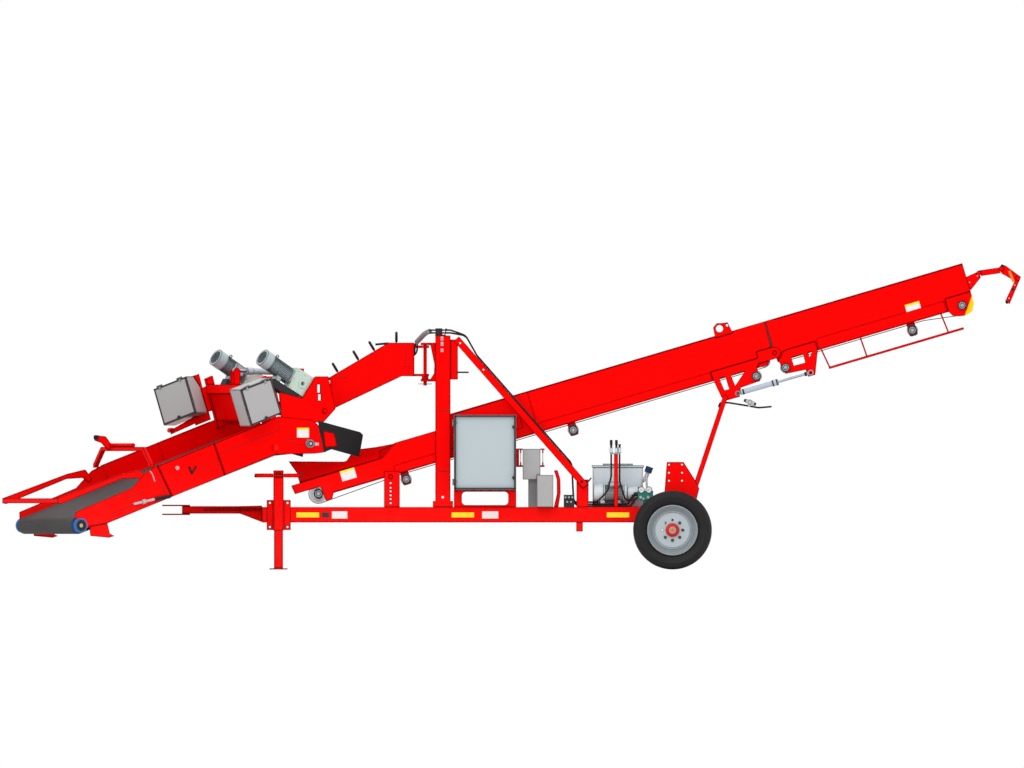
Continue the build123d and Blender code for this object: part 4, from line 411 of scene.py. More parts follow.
white_film = film("white film", (0.86, 0.86, 0.84), 0.4, 0.2)
black_film = film("black film", (0.03, 0.03, 0.032), 0.4, 0.3)
yellow_film = film("yellow film", (1.0, 0.83, 0.02), 0.35, 0.2)
film_depth = 0.0012
film_bevel = 0.0004
rail_film_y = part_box("chassis_rails")[0][1] - film_depth / 2
east, near, up = Vector((1, 0, 0)), Vector((0, -1, 0)), Vector((0, 0, 1))
for plate_name, plate_film, plate_spots in (
        ("rail_reflectors", yellow_film,
         ((-3.6475, 0.546, 0.227, 0.050), (-2.0965, 0.546, 0.225, 0.050),
          (-0.545, 0.546, 0.224, 0.050))),
        ("rail_white_plates", white_film,
         ((-3.329, 0.5455, 0.154, 0.073), (-1.823, 0.546, 0.162, 0.072))),
        ("rail_black_plate", black_film, ((-3.470, 0.546, 0.072, 0.050),))):
    plate_bm = bmesh.new()
    for spot_x, spot_z, spot_width, spot_height in plate_spots:
        add_slab(plate_bm, (spot_x, rail_film_y, spot_z), east, up, spot_width, spot_height,
                 film_depth, bevel=film_bevel)
    finish_piece(plate_name, plate_bm, plate_film, "chassis")

# Door trim: black rubber edging round the doors of the two control boxes and of the cabinet, each
# door held by quarter-turn latches of black plastic.
boom_turn = radians(32)
box_lean = radians(18.6)
boom_forward = Vector((-cos(boom_turn), -sin(boom_turn), 0))
boom_near = Vector((sin(boom_turn), -cos(boom_turn), 0))
swivel_x = -3.591


def on_boom(along, lateral, height):
    """A point given from the boom's swivel: forward to the nose, towards the near side, up."""
    return Vector((swivel_x, 0, height)) + boom_forward * along + boom_near * lateral


def add_edging(bm, corners, out, inset, width, depth):
    """Edging strips along the sides of a door, just inside its corners."""
    overlap = 0.002
    middle = sum(corners, Vector()) / len(corners)
    for first, second in zip(corners, corners[1:] + corners[:1]):
        along = (second - first).normalized()
        inward = middle - first
        inward = (inward - along * inward.dot(along)).normalized()
        centre = (first + second) / 2 + inward * (inset + width / 2) - out * (depth / 2 - overlap)
        add_slab(bm, centre, along, inward, (second - first).length - 2 * inset, width, depth,
                 bevel=0.0015)


def add_rod(bm, start, end, radius, segments=24):
    """A rod with flat ends between two points."""
    start = Vector(start)
    run = Vector(end) - start
    made = bmesh.ops.create_cone(bm, cap_ends=True, segments=segments, radius1=radius,
                                 radius2=radius, depth=run.length)
    turn = run.to_track_quat("Z", "Y").to_matrix().to_4x4()
    bmesh.ops.transform(bm, matrix=Matrix.Translation(start + run / 2) @ turn,
                        verts=made["verts"])


def add_latch(bm, place, across, up, out):
    """A quarter-turn latch: a round body with a flat winged key."""
    add_rod(bm, place - out * 0.002, place + out * 0.008, radius=0.013, segments=20)
    add_slab(bm, place + out * 0.010, across, up, width=0.040, height=0.011, depth=0.008,
             bevel=0.002)


trim_rubber = rubber("trim rubber", (0.030, 0.030, 0.032), (0.045, 0.045, 0.048), 0.55, 0.0)
far_door_out = Vector((-sin(boom_turn), -cos(boom_turn), 0))
far_door_across = Vector((cos(boom_turn) * cos(box_lean), -sin(boom_turn) * cos(box_lean),
                          sin(box_lean)))
far_door_down = far_door_across.cross(far_door_out)
far_door_corner = Vector((-5.192, -0.028, 1.804)) + far_door_out * 0.0003
near_door_lateral = 0.7493
edging_width = 0.018
latch_inset = 0.026
for door_body, door_out, door_corners in (
        ("near_box_door", boom_near,
         [on_boom(along, near_door_lateral, height) for along, height in (
             (1.327, 1.799), (0.966, 1.916), (0.840, 1.559), (1.200, 1.432))]),
        ("far_box_door", far_door_out,
         [far_door_corner + far_door_across * right + far_door_down * down for right, down in (
             (0.0, 0.0), (0.402, 0.0), (0.402, 0.385), (0.0, 0.385))])):
    edging_bm = bmesh.new()
    add_edging(edging_bm, door_corners, door_out, inset=0.002, width=edging_width, depth=0.017)
    finish_piece(door_body + "_edging", edging_bm, trim_rubber, door_body)
    foot_along = (door_corners[3] - door_corners[2]).normalized()
    foot_up = foot_along.cross(door_out)
    latch_bm = bmesh.new()
    add_latch(latch_bm, (door_corners[2] + door_corners[3]) / 2 + foot_up * latch_inset,
              foot_along, foot_up, door_out)
    finish_piece(door_body + "_latch", latch_bm, black_film, door_body)

cabinet_face_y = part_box("cabinet")[0][1] - 0.0183
cabinet_latch_bm = bmesh.new()
for latch_z in (0.918, 1.424):
    add_latch(cabinet_latch_bm, Vector((-1.592, cabinet_face_y, latch_z)), up, east, near)
finish_piece("cabinet_latches", cabinet_latch_bm, black_film, "cabinet_door")
cabinet_corners = [Vector((corner_x, cabinet_face_y, corner_z)) for corner_x, corner_z in (
    (-2.182, 1.542), (-1.567, 1.542), (-1.567, 0.800), (-2.182, 0.800))]
cabinet_edging_bm = bmesh.new()
add_edging(cabinet_edging_bm, cabinet_corners, near, inset=0.0, width=edging_width, depth=0.020)
finish_piece("cabinet_door_edging", cabinet_edging_bm, trim_rubber, "cabinet_door")

# Gear motors' cast parts: the gearboxes carry a pale green coat, the motors blue-grey. Each fan
# cover ends in a black grille of pressed rings and spokes.
motor_lean = radians(31)
motor_run = boom_forward * cos(motor_lean) + up * sin(motor_lean)
motor_along = 0.454
motor_height = 1.868
gearbox_length = 0.128
motor_length = 0.495


def between(tree, value, low, high):
    """Mask of the points whose value lies between two limits."""
    return math_node(tree, "MULTIPLY", math_node(tree, "GREATER_THAN", value, low),
                     math_node(tree, "LESS_THAN", value, high))


def axis_band(tree, direction, low, high):
    """Mask of the points whose place along a direction lies between two limits."""
    place = tree.nodes.new("ShaderNodeTexCoord").outputs["Object"]
    return between(tree, vector_node(tree, "DOT_PRODUCT", place, direction), low, high)


def repaint(material, colour, *zones):
    """Gives the space where all the zones meet its own colour."""
    tree = material.node_tree
    painted = tree.nodes["Principled BSDF"].inputs["Base Color"]
    masks = [shape(tree, *limits) for shape, *limits in zones]
    mask = masks[0]
    for other in masks[1:]:
        mask = math_node(tree, "MULTIPLY", mask, other)
    tree.links.new(mix_colour(tree, mask, painted.links[0].from_socket, colour), painted)


gearbox_end = on_boom(motor_along, 0, motor_height).dot(motor_run) + gearbox_length
repaint(motor_enamel, (0.50, 0.62, 0.55), (axis_band, motor_run, gearbox_end - 1, gearbox_end))


def add_ring(bm, centre, axis, radius, wire):
    """A closed ring of round wire, spun from its section."""
    axis = Vector(axis).normalized()
    aside = axis.orthogonal().normalized()
    section = bmesh.ops.create_circle(bm, segments=8, radius=wire)
    turn = Matrix((aside, axis, aside.cross(axis))).transposed().to_4x4()
    bmesh.ops.transform(bm, matrix=Matrix.Translation(Vector(centre) + aside * radius) @ turn,
                        verts=section["verts"])
    edges = list({edge for vert in section["verts"] for edge in vert.link_edges})
    bmesh.ops.spin(bm, geom=section["verts"] + edges, cent=centre, axis=axis, dvec=(0, 0, 0),
                   angle=2 * pi, steps=36, use_merge=True)


grille_black_bm = bmesh.new()
grille_ring_bm = bmesh.new()
spoke_count = 6
for motor_lateral in (0.440, -0.440):
    grille_face = on_boom(motor_along, motor_lateral, motor_height) + motor_run * motor_length
    add_rod(grille_black_bm, grille_face - motor_run * 0.002, grille_face + motor_run * 0.001,
            radius=0.068, segments=40)
    for ring_radius in (0.018, 0.030, 0.042, 0.054, 0.067):
        add_ring(grille_ring_bm, grille_face + motor_run * 0.0012, motor_run, ring_radius,
                 wire=0.0022)
    for spoke in range(spoke_count):
        spoke_turn = Matrix.Rotation(spoke * 2 * pi / spoke_count, 3, motor_run)
        spoke_out = spoke_turn @ motor_run.orthogonal().normalized()
        spoke_base = grille_face + motor_run * 0.001
        add_rod(grille_ring_bm, spoke_base + spoke_out * 0.012, spoke_base + spoke_out * 0.067,
                radius=0.0018, segments=8)
finish_piece("fan_grille_backs", grille_black_bm, black_film, "boom")
finish_piece("fan_grille_rings", grille_ring_bm, motor_enamel, "boom", smooth=True)

# Painted zones: parts of one casting or weldment that carry another finish than the rest of it.
# Each zone is a band along a direction or a ring round an axis, in the machine's own coordinates.
wheel_centre = (0, 0, 0.394)
tail_pulley_centre = Vector((-3.541, 0, 0.757))
head_pulley_centre = (2.89584, 0, 2.64105)
lower_right = (0.940, 0, -0.342)
head_pulley_reach = 1.8188
filler_lean = (sin(radians(20)), 0, cos(radians(20)))
filler_foot = -0.280 * filler_lean[0] + 0.880 * filler_lean[2]


def ring_band(tree, centre, axis, low, high):
    """Mask of the points whose distance from an axis lies between two limits."""
    place = tree.nodes.new("ShaderNodeTexCoord").outputs["Object"]
    offset = vector_node(tree, "SUBTRACT", place, centre, output="Vector")
    across = vector_node(tree, "CROSS_PRODUCT", offset, axis, output="Vector")
    return between(tree, vector_node(tree, "LENGTH", across, (0, 0, 0)), low, high)


# The power pack's valve block is green, with steel ports and black gauges; its couplers end black
valve_block = (axis_band, east, -0.3465, 0)
repaint(pack_enamel, (0.02, 0.22, 0.18), valve_block)
repaint(pack_enamel, (0.45, 0.47, 0.48), valve_block, (axis_band, near, 0.6302, 1))
repaint(pack_enamel, (0.01, 0.012, 0.012), valve_block, (axis_band, up, 0.7885, 1))
repaint(pack_enamel, (0.015, 0.015, 0.016), (axis_band, up, 1.2195, 2))
# The tank's filler neck is bare and its cap dark blue
filler_neck = (axis_band, east, -0.2860, 0)
repaint(tank_enamel, (0.55, 0.57, 0.57), filler_neck)
repaint(tank_enamel, (0.012, 0.045, 0.12), filler_neck,
        (axis_band, filler_lean, filler_foot + 0.0935, 3))
# The rim is darker than its disc, and the hub's cap is grey-green with a red middle
repaint(rim_enamel, (0.26, 0.30, 0.32), (ring_band, wheel_centre, near, 0.188, 0.3))
repaint(hub_paint, (0.30, 0.33, 0.24), (ring_band, wheel_centre, near, 0.0, 0.036))
repaint(hub_paint, (0.80, 0.10, 0.10), (ring_band, wheel_centre, near, 0.0, 0.016))
# The upper box's post is dark grey, and the valve blocks on the mast and on the rail are black
repaint(box_enamel, (0.19, 0.19, 0.19), (axis_band, east, -1.4450, -1.3558),
        (axis_band, up, 0.6, 0.8995))
repaint(box_enamel, (0.02, 0.02, 0.022), (axis_band, up, 2.345, 2.5))
repaint(box_enamel, (0.03, 0.03, 0.033), (axis_band, east, -1.0900, -0.9800),
        (axis_band, up, 0.6, 0.76))
# The rings round the tail pulley's end are pale, and the head pulley's lower end is yellow
repaint(bearing_iron, (0.50, 0.58, 0.63), (ring_band, tail_pulley_centre, near, 0.055, 0.12))
repaint(red_paint, (0.95, 0.62, 0.01), (ring_band, head_pulley_centre, near, 0.050, 0.140),
        (axis_band, lower_right, head_pulley_reach + 0.060, head_pulley_reach + 0.140))
# The boom's nose pulley has a blue rim round a black web, and its other drums dark or red ends
for drum_along, drum_height, drum_low, drum_high, drum_colour in (
        (3.088, 0.440, 0.056, 0.085, (0.03, 0.13, 0.40)),
        (3.088, 0.440, 0.0, 0.056, (0.02, 0.02, 0.02)),
        (3.088, 0.440, 0.0, 0.020, (0.45, 0.40, 0.20)),
        (0.382, 1.259, 0.0, 0.030, (0.02, 0.02, 0.02)),
        (0.382, 1.259, 0.0, 0.016, (0.45, 0.47, 0.48)),
        (0.790, 1.219, 0.0, 0.033, (0.80, 0.0, 0.0))):
    repaint(drum_steel, drum_colour, (ring_band, on_boom(drum_along, 0, drum_height), boom_near,
                                      drum_low, drum_high))

# Pressure gauges on the power pack: white dials in black bezels, with plain ticks and a pointer,
# and no figures.
gauge_z = 0.797
bezel_radius = 0.031
tick_count = 9
gauge_white_bm = bmesh.new()
gauge_black_bm = bmesh.new()
for gauge_x in (-0.312, -0.236):
    gauge_place = Vector((gauge_x, -0.638, gauge_z))
    add_rod(gauge_white_bm, gauge_place, gauge_place + near * 0.0015,
            radius=bezel_radius - 0.002, segments=32)
    add_ring(gauge_black_bm, gauge_place + near * 0.001, -near, bezel_radius, wire=0.0030)
    for tick in range(tick_count):
        tick_turn = radians(-45 + 270 * tick / (tick_count - 1))
        tick_out = Vector((cos(tick_turn), 0, sin(tick_turn)))
        add_slab(gauge_black_bm, gauge_place + near * 0.0018 + tick_out * 0.0235, -near, tick_out,
                 width=0.0008, height=0.006, depth=0.0014, bevel=0.0002)
    pointer_out = Vector((cos(radians(200)), 0, sin(radians(200))))
    add_slab(gauge_black_bm, gauge_place + near * 0.0026 + pointer_out * 0.008, -near,
             pointer_out, width=0.0009, height=0.024, depth=0.0022, bevel=0.0003)
    add_rod(gauge_black_bm, gauge_place, gauge_place + near * 0.0040, radius=0.0032, segments=16)
finish_piece("gauge_dials", gauge_white_bm, white_film, "chassis")
finish_piece("gauge_bezels", gauge_black_bm, black_film, "chassis")

# Wheel nuts: five nuts on their studs hold each disc to its hub. Each has a round washer, a
# hexagon and the stud's end.
wheel_middle_y = 0.870
disc_face = 0.055
nut_circle = 0.102
nut_count = 5
nut_step = radians(45)
for wheel_side, wheel_body in ((-1, "wheel_near"), (1, "wheel_far")):
    nut_out = Vector((0, wheel_side, 0))
    disc_middle = Vector(wheel_centre) + nut_out * (wheel_middle_y + disc_face)
    nut_bm = bmesh.new()
    for nut in range(nut_count):
        nut_turn = (1 - nut) * nut_step
        nut_place = disc_middle + Vector((cos(nut_turn), 0, sin(nut_turn))) * nut_circle
        for nut_from, nut_to, nut_radius, nut_sides in (
                (-0.006, 0.004, 0.0155, 20), (0.003, 0.016, 0.0115, 6),
                (0.015, 0.022, 0.0065, 12)):
            add_rod(nut_bm, nut_place + nut_out * nut_from, nut_place + nut_out * nut_to,
                    nut_radius, segments=nut_sides)
    finish_piece(wheel_body + "_nuts", nut_bm, drum_steel, wheel_body)

# Flange bearings' faces: a pressed ring and the shaft's end on each black bearing, on both sides
# of the fixed conveyor and of its folding head.
fitting_steel = sprayed_paint("fitting steel", (0.50, 0.53, 0.55), (0.42, 0.45, 0.47),
                              (0.04, 0.04, 0.045), rough=0.35, seam=0.003)
fitting_black = sprayed_paint("fitting black", (0.016, 0.016, 0.018), (0.011, 0.011, 0.012),
                              (0.005, 0.005, 0.005), rough=0.5, seam=0.003)
climb = radians(16.4)
slope_across = Vector((cos(climb), 0, sin(climb)))
slope_up = Vector((-sin(climb), 0, cos(climb)))


def on_slope(along, height, lateral):
    """A point given from the tail pulley: up the conveyor, square to it, and its Y."""
    return tail_pulley_centre + slope_across * along + slope_up * height - near * lateral


for bearing_body, bearing_spots in (
        ("chassis", ((0.0, 0.0, 0.596), (0.883, -0.108, 0.596), (2.625, -0.108, 0.596),
                     (4.533, -0.108, 0.608))),
        ("head", ((6.707, -0.010, 0.608), (4.839, -0.108, 0.608), (6.160, -0.108, 0.596)))):
    bearing_bm = bmesh.new()
    for bearing_along, bearing_height, bearing_face in bearing_spots:
        for side in (-1, 1):
            bearing_place = on_slope(bearing_along, bearing_height, side * bearing_face)
            bearing_out = Vector((0, side, 0))
            add_ring(bearing_bm, bearing_place, bearing_out, radius=0.029, wire=0.0045)
            add_rod(bearing_bm, bearing_place - bearing_out * 0.002,
                    bearing_place + bearing_out * 0.004, radius=0.018, segments=32)
            add_rod(bearing_bm, bearing_place + bearing_out * 0.003,
                    bearing_place + bearing_out * 0.010, radius=0.009, segments=20)
    finish_piece("bearing_faces_" + bearing_body, bearing_bm, fitting_steel, bearing_body)

# Fold joint: a rubber strip closes the gap between the fixed side plates and the head's. The twin
# cylinders have black seals on their barrels and a dark clevis nut on each rod.
gap_along = (0.9664, 0, 0.2572)
gap_up = (-0.2572, 0, 0.9664)
gap_bm = bmesh.new()
for side in (-1, 1):
    add_slab(gap_bm, (0.961, side * 0.5582, 2.3515), gap_along, gap_up, width=0.040, height=0.272,
             depth=0.0024, bevel=0.0005)
finish_piece("fold_gap_strips", gap_bm, trim_rubber, "chassis")
cylinder_lateral = 0.613
cylinder_start = on_slope(4.307, -0.220, 0)
cylinder_run = (on_slope(5.0645, -0.228, 0) - cylinder_start).normalized()
barrel_seal_bm = bmesh.new()
rod_nut_bm = bmesh.new()
for side in (-1, 1):
    cylinder_foot = cylinder_start + Vector((0, side * cylinder_lateral, 0))
    for seal_from, seal_to, seal_radius in (
            (0.050, 0.066, 0.0285), (0.362, 0.373, 0.0325), (0.400, 0.412, 0.0325)):
        add_rod(barrel_seal_bm, cylinder_foot + cylinder_run * seal_from,
                cylinder_foot + cylinder_run * seal_to, seal_radius, segments=40)
    add_rod(rod_nut_bm, cylinder_foot + cylinder_run * 0.694,
            cylinder_foot + cylinder_run * 0.718, radius=0.021, segments=6)
finish_piece("fold_barrel_seals", barrel_seal_bm, fitting_black, "fold_barrels")
finish_piece("fold_rod_nuts", rod_nut_bm, fitting_black, "fold_rods")

# Discharge end: yellow end plates on the head pulley, and the level sensor's arm with an orange
# strip, black caps and steel bolts along it.
yellow_enamel = sprayed_paint("yellow enamel", (0.95, 0.62, 0.01), (0.88, 0.55, 0.01),
                              (0.10, 0.06, 0.01), rough=0.4)
orange_film = film("orange film", (0.90, 0.22, 0.02), 0.4, 0.2)


def add_rods(bm, rods, place=lambda *point: Vector(point)):
    """Rods from rows of start, end, radius and sides, in the coordinates that place reads."""
    for start, end, radius, sides in rods:
        add_rod(bm, place(*start), place(*end), radius, segments=sides)


def rod_piece(name, material, body, rods):
    """A piece made of such rods alone."""
    bm = bmesh.new()
    add_rods(bm, rods)
    finish_piece(name, bm, material, body)


rod_piece("head_pulley_plates", yellow_enamel, "head", [
    (on_slope(6.707, -0.010, side * 0.546), on_slope(6.707, -0.010, side * 0.556), 0.099, 64)
    for side in (-1, 1)])
sensor_across = (0.924, 0, 0.382)
sensor_up = (-0.382, 0, 0.924)
sensor_strip_bm = bmesh.new()
add_slab(sensor_strip_bm, (3.389, -0.5677, 2.932), sensor_across, sensor_up, width=0.026,
         height=0.118, depth=0.0014, bevel=film_bevel)
finish_piece("sensor_strip", sensor_strip_bm, orange_film, "head")
sensor_face_y = -0.5655
rod_piece("sensor_caps", fitting_black, "head", [
    ((cap_x, sensor_face_y, cap_z), (cap_x, sensor_face_y - 0.006, cap_z), cap_radius, 24)
    for cap_x, cap_z, cap_radius in (
        (3.345, 2.672, 0.016), (3.296, 3.036, 0.015), (3.403, 2.802, 0.013))])
rod_piece("sensor_bolts", fitting_steel, "head", [
    ((bolt_x, sensor_face_y, bolt_z), (bolt_x, sensor_face_y - 0.0055, bolt_z), 0.008, 6)
    for bolt_x, bolt_z in ((3.050, 2.937), (2.972, 2.872), (3.423, 2.845), (3.366, 2.712))])

# Warning plates left blank: printed film with a white field under a yellow band, stuck on the
# conveyor's side plate, on the head and on the boom.
band_height = 0.020
for label_name, label_body, label_place, label_across, label_up, label_width, label_height in (
        ("conveyor_plate", "chassis", Vector((-3.242, -0.5666, 0.951)), slope_across, slope_up,
         0.150, 0.105),
        ("head_plate", "head", Vector((2.4075, -0.5666, 2.6145)), slope_across, slope_up,
         0.150, 0.105),
        ("boom_plate", "boom", on_boom(0.454, 0.5306, 1.3685), -boom_forward, up,
         0.142, 0.098)):
    label_bm = bmesh.new()
    add_slab(label_bm, label_place - label_up * band_height / 2, label_across, label_up,
             label_width, label_height - band_height, film_depth, bevel=film_bevel)
    finish_piece(label_name, label_bm, white_film, label_body)
    band_bm = bmesh.new()
    add_slab(band_bm, label_place + label_up * (label_height - band_height) / 2, label_across,
             label_up, label_width, band_height, film_depth, bevel=film_bevel)
    finish_piece(label_name + "_band", band_bm, yellow_film, label_body)

# Folds and laps of the boom's near plate: the plate is folded and lapped from several sheets, and
# each joint shows as a thin dark red line.


def add_lap(bm, start, end, out):
    """The thin line of a fold or lap between two points of a plate."""
    run = (end - start).normalized()
    add_slab(bm, (start + end) / 2, run, run.cross(out), (end - start).length, height=0.006,
             depth=0.0016, bevel=film_bevel)


lap_paint = sprayed_paint("lap paint", (0.34, 0.004, 0.004), (0.26, 0.003, 0.003),
                          (0.05, 0.0, 0.0), rough=0.5, seam=0.002)
boom_plate_face = 0.5302
lap_bm = bmesh.new()
for first_along, first_z, second_along, second_z in (
        (1.461, 1.152, 0.741, 1.393), (1.461, 1.152, 1.461, 0.960), (0.741, 1.500, 0.741, 1.385),
        (0.310, 1.430, 0.219, 1.190), (0.274, 1.425, 0.196, 1.205), (0.400, 1.419, 0.310, 1.430),
        (0.665, 1.297, 0.4245, 1.307), (0.665, 1.266, 0.4245, 1.246),
        (1.640, 0.995, 1.5625, 1.085), (2.140, 1.000, 2.020, 0.745), (2.190, 0.985, 2.070, 0.730),
        (2.560, 0.700, 2.330, 0.780), (2.700, 0.560, 2.450, 0.650)):
    add_lap(lap_bm, on_boom(first_along, boom_plate_face, first_z),
            on_boom(second_along, boom_plate_face, second_z), boom_near)
finish_piece("boom_plate_laps", lap_bm, lap_paint, "boom")

# Mast and junction boxes: weld laps across the near post, a plug in its drain hole, a peg behind
# the gusset, a small lever on the valve block, and the clamps that hold the upper box.
mast_lap_bm = bmesh.new()
for lap_z in (1.586, 0.983):
    add_slab(mast_lap_bm, (-2.297, -0.6584, lap_z), east, up, width=0.098, height=0.011,
             depth=film_depth, bevel=film_bevel)
finish_piece("mast_laps", mast_lap_bm, lap_paint, "chassis")
rod_piece("mast_plug", white_film, "chassis",
          [((-2.298, -0.656, 0.723), (-2.298, -0.6605, 0.723), 0.013, 24)])
rod_piece("mast_peg_and_lever", fitting_black, "chassis",
          [((-2.160, -0.640, 1.972), (-2.037, -0.640, 1.972), 0.008, 16),
           ((-2.277, -0.620, 2.346), (-2.262, -0.620, 2.405), 0.005, 12),
           ((-2.264, -0.620, 2.399), (-2.261, -0.620, 2.410), 0.009, 16)])
bracket_y = -0.640
bracket_bm = bmesh.new()
add_slab(bracket_bm, (-1.549, bracket_y, 1.1175), east, up, width=0.030, height=0.185,
         depth=0.006)
for arm_x, arm_width, clamp_x in ((-1.516, 0.036, -1.518), (-1.300, 0.042, -1.297)):
    for piece_x, piece_z, piece_width, piece_height in (
            (arm_x, 1.203, arm_width, 0.014), (arm_x, 1.034, arm_width, 0.018),
            (clamp_x, 1.180, 0.014, 0.030), (clamp_x, 1.058, 0.014, 0.030)):
        add_slab(bracket_bm, (piece_x, bracket_y, piece_z), east, up, piece_width, piece_height,
                 depth=0.006)
    add_rod(bracket_bm, (clamp_x, bracket_y, 1.040), (clamp_x, bracket_y, 1.198), radius=0.003,
            segments=12)
finish_piece("box_bracket", bracket_bm, red_paint, "chassis")

# Rings on the arm: four welded rings guide the hoses along the arm. Each ring is wrapped in a
# thick dark sleeve, so that no hose chafes on it.
arm_climb = radians(30.514)
ring_rise = 0.0563
ring_sleeve_bm = bmesh.new()
for ring_x, ring_z, ring_lean in (
        (-3.346, 1.9716, arm_climb), (-3.139, 2.0935, arm_climb),
        (-2.980, 2.1873, arm_climb), (-2.761, 2.268, 0.0)):
    ring_run = Vector((cos(ring_lean), 0, sin(ring_lean)))
    ring_above = Vector((-ring_run.z, 0, ring_run.x))
    add_ring(ring_sleeve_bm, Vector((ring_x, 0, ring_z)) + ring_above * ring_rise, ring_run,
             radius=0.0425, wire=0.0135)
finish_piece("arm_ring_sleeves", ring_sleeve_bm, arm_ring_paint, "arm", smooth=True)

# Parking jack: the crank's tube is sleeved on both sides of the jack's head, and a spring clip
# locks the crank at its outer end.
crank_y = -0.780
crank_z = 0.940
crank_bm = bmesh.new()
for sleeve_from, sleeve_to in ((-4.178, -3.994), (-3.886, -3.724)):
    add_slab(crank_bm, ((sleeve_from + sleeve_to) / 2, crank_y, crank_z), east, up,
             sleeve_to - sleeve_from, height=0.040, depth=0.034, bevel=0.004)
finish_piece("jack_crank_sleeves", crank_bm, red_paint, "chassis")
crank_clip_bm = bmesh.new()
add_ring(crank_clip_bm, (-3.722, crank_y, crank_z), -near, radius=0.026, wire=0.004)
finish_piece("jack_crank_clip", crank_clip_bm, fitting_black, "chassis", smooth=True)

# Fittings along the near side: blocks on the mast's post, unions on the small valve block, pipes
# over the gauges, a washer and split pin under the arm's hinge and a peg at the brace's foot.
block_x = -2.304
fitting_bm = bmesh.new()
for block_z, block_height in ((2.310, 0.042), (2.256, 0.040), (2.192, 0.034)):
    add_slab(fitting_bm, (block_x, -0.666, block_z), east, up, width=0.028, height=block_height,
             depth=0.020, bevel=0.003)
    add_rod(fitting_bm, (block_x, -0.674, block_z), (block_x, -0.682, block_z), radius=0.009,
            segments=6)
for union_x, union_z in (
        (-1.070, 0.722), (-1.036, 0.722), (-1.002, 0.722), (-1.053, 0.676), (-1.015, 0.676)):
    add_rods(fitting_bm, (((union_x, -0.658, union_z), (union_x, -0.672, union_z), 0.013, 6),
                          ((union_x, -0.670, union_z), (union_x, -0.690, union_z), 0.008, 16)))
for pipe_x, elbow_x in ((-0.308, -0.280), (-0.258, -0.266)):
    add_rods(fitting_bm, (((pipe_x, -0.610, 0.822), (pipe_x, -0.610, 0.900), 0.010, 16),
                          ((pipe_x, -0.610, 0.846), (pipe_x, -0.610, 0.866), 0.015, 6),
                          ((pipe_x, -0.610, 0.894), (elbow_x, -0.600, 0.925), 0.010, 16)))
finish_piece("near_side_fittings", fitting_bm, fitting_steel, "chassis")
rod_piece("hinge_washer_and_split_pin", fitting_steel, "chassis",
          [((-2.474, 0, 1.896), (-2.474, 0, 1.906), 0.034, 32),
           ((-2.545, 0, 1.856), (-2.405, 0, 1.856), 0.0035, 10)])
rod_piece("brace_peg", fitting_black, "chassis",
          [((-0.872, -0.650, 0.842), (-0.812, -0.650, 0.918), 0.007, 12),
           ((-0.880, -0.650, 0.858), (-0.842, -0.650, 0.842), 0.007, 12)])

# Folds of the arm: the arm's side is one folded sheet, and its folds near the hinge and the tip
# show as thin dark red lines.
arm_face_y = -0.0763
arm_lap_bm = bmesh.new()
for first_x, first_z, second_x, second_z in (
        (-2.672, 2.225, -2.672, 2.030), (-2.672, 2.030, -2.622, 2.012),
        (-3.380, 1.915, -3.240, 1.922)):
    add_lap(arm_lap_bm, Vector((first_x, arm_face_y, first_z)),
            Vector((second_x, arm_face_y, second_z)), near)
finish_piece("arm_laps", arm_lap_bm, lap_paint, "arm")

# Hoses over the arm's hinge: two rubber hoses leave the mast's valve block, hang in a bight that
# on the machine lets the arm swing, and enter the arm's end. A grey woven sleeve holds them
# together. Each is a tube along a smooth curve that bends between mast and arm; the hoses are
# fixed in this one pose and ride on no body.


def tube_on_route(bm, route, radius):
    """Adds a tube with closed ends along a smooth curve; returns the points of its middle line."""
    curve = bpy.data.curves.new("route", "CURVE")
    curve.dimensions = "3D"
    curve.fill_mode = "FULL"
    curve.resolution_u = 10
    spline = curve.splines.new("NURBS")
    spline.points.add(len(route) - 1)
    for point, place in zip(spline.points, route):
        point.co = (*place, 1)
    spline.order_u = 3
    spline.use_endpoint_u = True
    holder = bpy.data.objects.new("route", curve)
    line = [tuple(vertex.co) for vertex in bpy.data.meshes.new_from_object(holder).vertices]
    curve.bevel_depth = radius
    curve.bevel_resolution = 5
    curve.use_fill_caps = True
    bm.from_mesh(bpy.data.meshes.new_from_object(holder))
    bmesh.ops.remove_doubles(bm, verts=bm.verts, dist=1e-6)
    bpy.data.objects.remove(holder)
    return line


sleeve_cloth = rubber("sleeve cloth", (0.16, 0.16, 0.17), (0.30, 0.30, 0.31), 0.7, 0.0)
sleeve_route = [(-2.430, -0.600, 2.382), (-2.470, -0.520, 2.368), (-2.520, -0.360, 2.313),
                (-2.555, -0.220, 2.278)]
sleeve_bm = bmesh.new()
tube_on_route(sleeve_bm, sleeve_route, radius=0.026)
hose_sleeve = finish_piece("hinge_hose_sleeve", sleeve_bm, sleeve_cloth, None, smooth=True)
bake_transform(hose_sleeve)
hose_radius = 0.009
for hose_name, hose_shift, hose_port_z, hose_length, hose_pieces in (
        ("hinge_hose_upper", 0.0, 2.394, 0.71, [hose_sleeve]),
        ("hinge_hose_lower", 0.024, 2.366, 0.72, [])):
    hose_route = [
        (-2.396, -0.620, hose_port_z), (-2.425, -0.612, hose_port_z),
        (-2.470, -0.520, 2.380 - hose_shift), (-2.520, -0.360, 2.325 - hose_shift),
        (-2.555, -0.220, 2.290 - hose_shift), (-2.576 + hose_shift, -0.120, 2.245),
        (-2.578 + hose_shift, -0.075, 2.175), (-2.590, -0.050 + hose_shift, 2.135),
        (-2.604, -0.046 + hose_shift, 2.130)]
    hose_bm = bmesh.new()
    hose_line = tube_on_route(hose_bm, hose_route, hose_radius)
    hose = finish_piece(hose_name, hose_bm, skirt_rubber, None, smooth=True)
    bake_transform(hose)

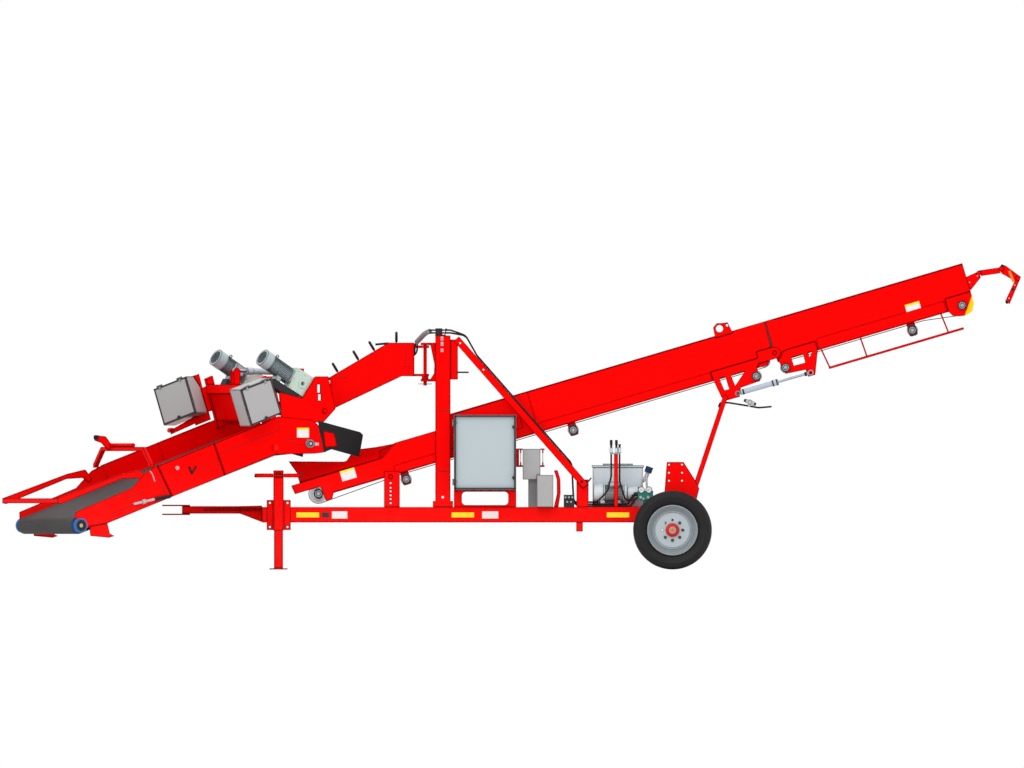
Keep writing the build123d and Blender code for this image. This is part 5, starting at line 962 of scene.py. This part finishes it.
# Small parts of the boom and the arm: the belt's tensioner with its lock nut, a plug, a lever and
# a clip on the boom's near plate, a block on the arch, and the end of the pipe on the arm.
tensioner_bm = bmesh.new()
add_rods(tensioner_bm, (((2.459, 0.545, 0.655), (2.199, 0.545, 0.705), 0.013, 24),
                        ((2.360, 0.545, 0.674), (2.320, 0.545, 0.682), 0.022, 6),
                        ((1.940, 0.528, 1.015), (1.940, 0.541, 1.015), 0.020, 28),
                        ((1.940, 0.540, 1.015), (1.940, 0.548, 1.015), 0.011, 6),
                        ((2.205, 0.536, 0.880), (2.232, 0.536, 0.950), 0.006, 12),
                        ((2.230, 0.536, 0.946), (2.262, 0.536, 0.985), 0.006, 12)), on_boom)
add_slab(tensioner_bm, on_boom(0.298, 0.5345, 1.254), -boom_forward, up, width=0.050,
         height=0.030, depth=0.009, bevel=0.002)
finish_piece("boom_plate_fittings", tensioner_bm, fitting_steel, "boom")
clip_bm = bmesh.new()
add_rods(clip_bm, (((2.215, 0.548, 0.702), (2.034, 0.548, 0.730), 0.018, 24),
                   ((1.800, 0.538, 1.030), (1.768, 0.538, 0.960), 0.009, 12),
                   ((1.768, 0.538, 0.962), (1.712, 0.538, 1.035), 0.009, 12)), on_boom)
add_slab(clip_bm, on_boom(2.427, -0.215, 1.322), -boom_forward, up, width=0.050, height=0.040,
         depth=0.022, bevel=0.003)
finish_piece("boom_plate_clips", clip_bm, fitting_black, "boom")
rod_piece("arm_pipe_end", fitting_black, "arm",
          [((-2.972, -0.040, 2.250), (-2.840, -0.040, 2.262), 0.011, 20)])

# Under the head: flat edge strips stiffen the spill guard. A hand valve with black knobs sits on
# the hose between the support legs.
guard_edge_bm = bmesh.new()
for side in (-1, 1):
    add_slab(guard_edge_bm, on_slope(5.9555, -0.234, side * 0.5695), slope_across, slope_up,
             width=1.403, height=0.024, depth=0.006)
finish_piece("guard_edge_strips", guard_edge_bm, red_paint, "head")
valve_run = Vector((cos(radians(20)), 0, -sin(radians(20))))
valve_place = Vector((0.775, -0.586, 1.672))
valve_bm = bmesh.new()
valve_knob_bm = bmesh.new()
add_rod(valve_bm, valve_place, valve_place + Vector((-0.010, 0, -0.045)), radius=0.013,
        segments=20)
for rod_bm, rod_from, rod_to, rod_radius, rod_sides in (
        (valve_bm, -0.045, 0.045, 0.021, 24), (valve_bm, -0.014, 0.014, 0.028, 6),
        (valve_knob_bm, -0.064, -0.043, 0.016, 20), (valve_knob_bm, 0.043, 0.064, 0.016, 20)):
    add_rod(rod_bm, valve_place + valve_run * rod_from, valve_place + valve_run * rod_to,
            rod_radius, segments=rod_sides)
finish_piece("leg_hose_valve", valve_bm, fitting_steel, "chassis")
finish_piece("leg_hose_valve_knobs", valve_knob_bm, fitting_black, "chassis")
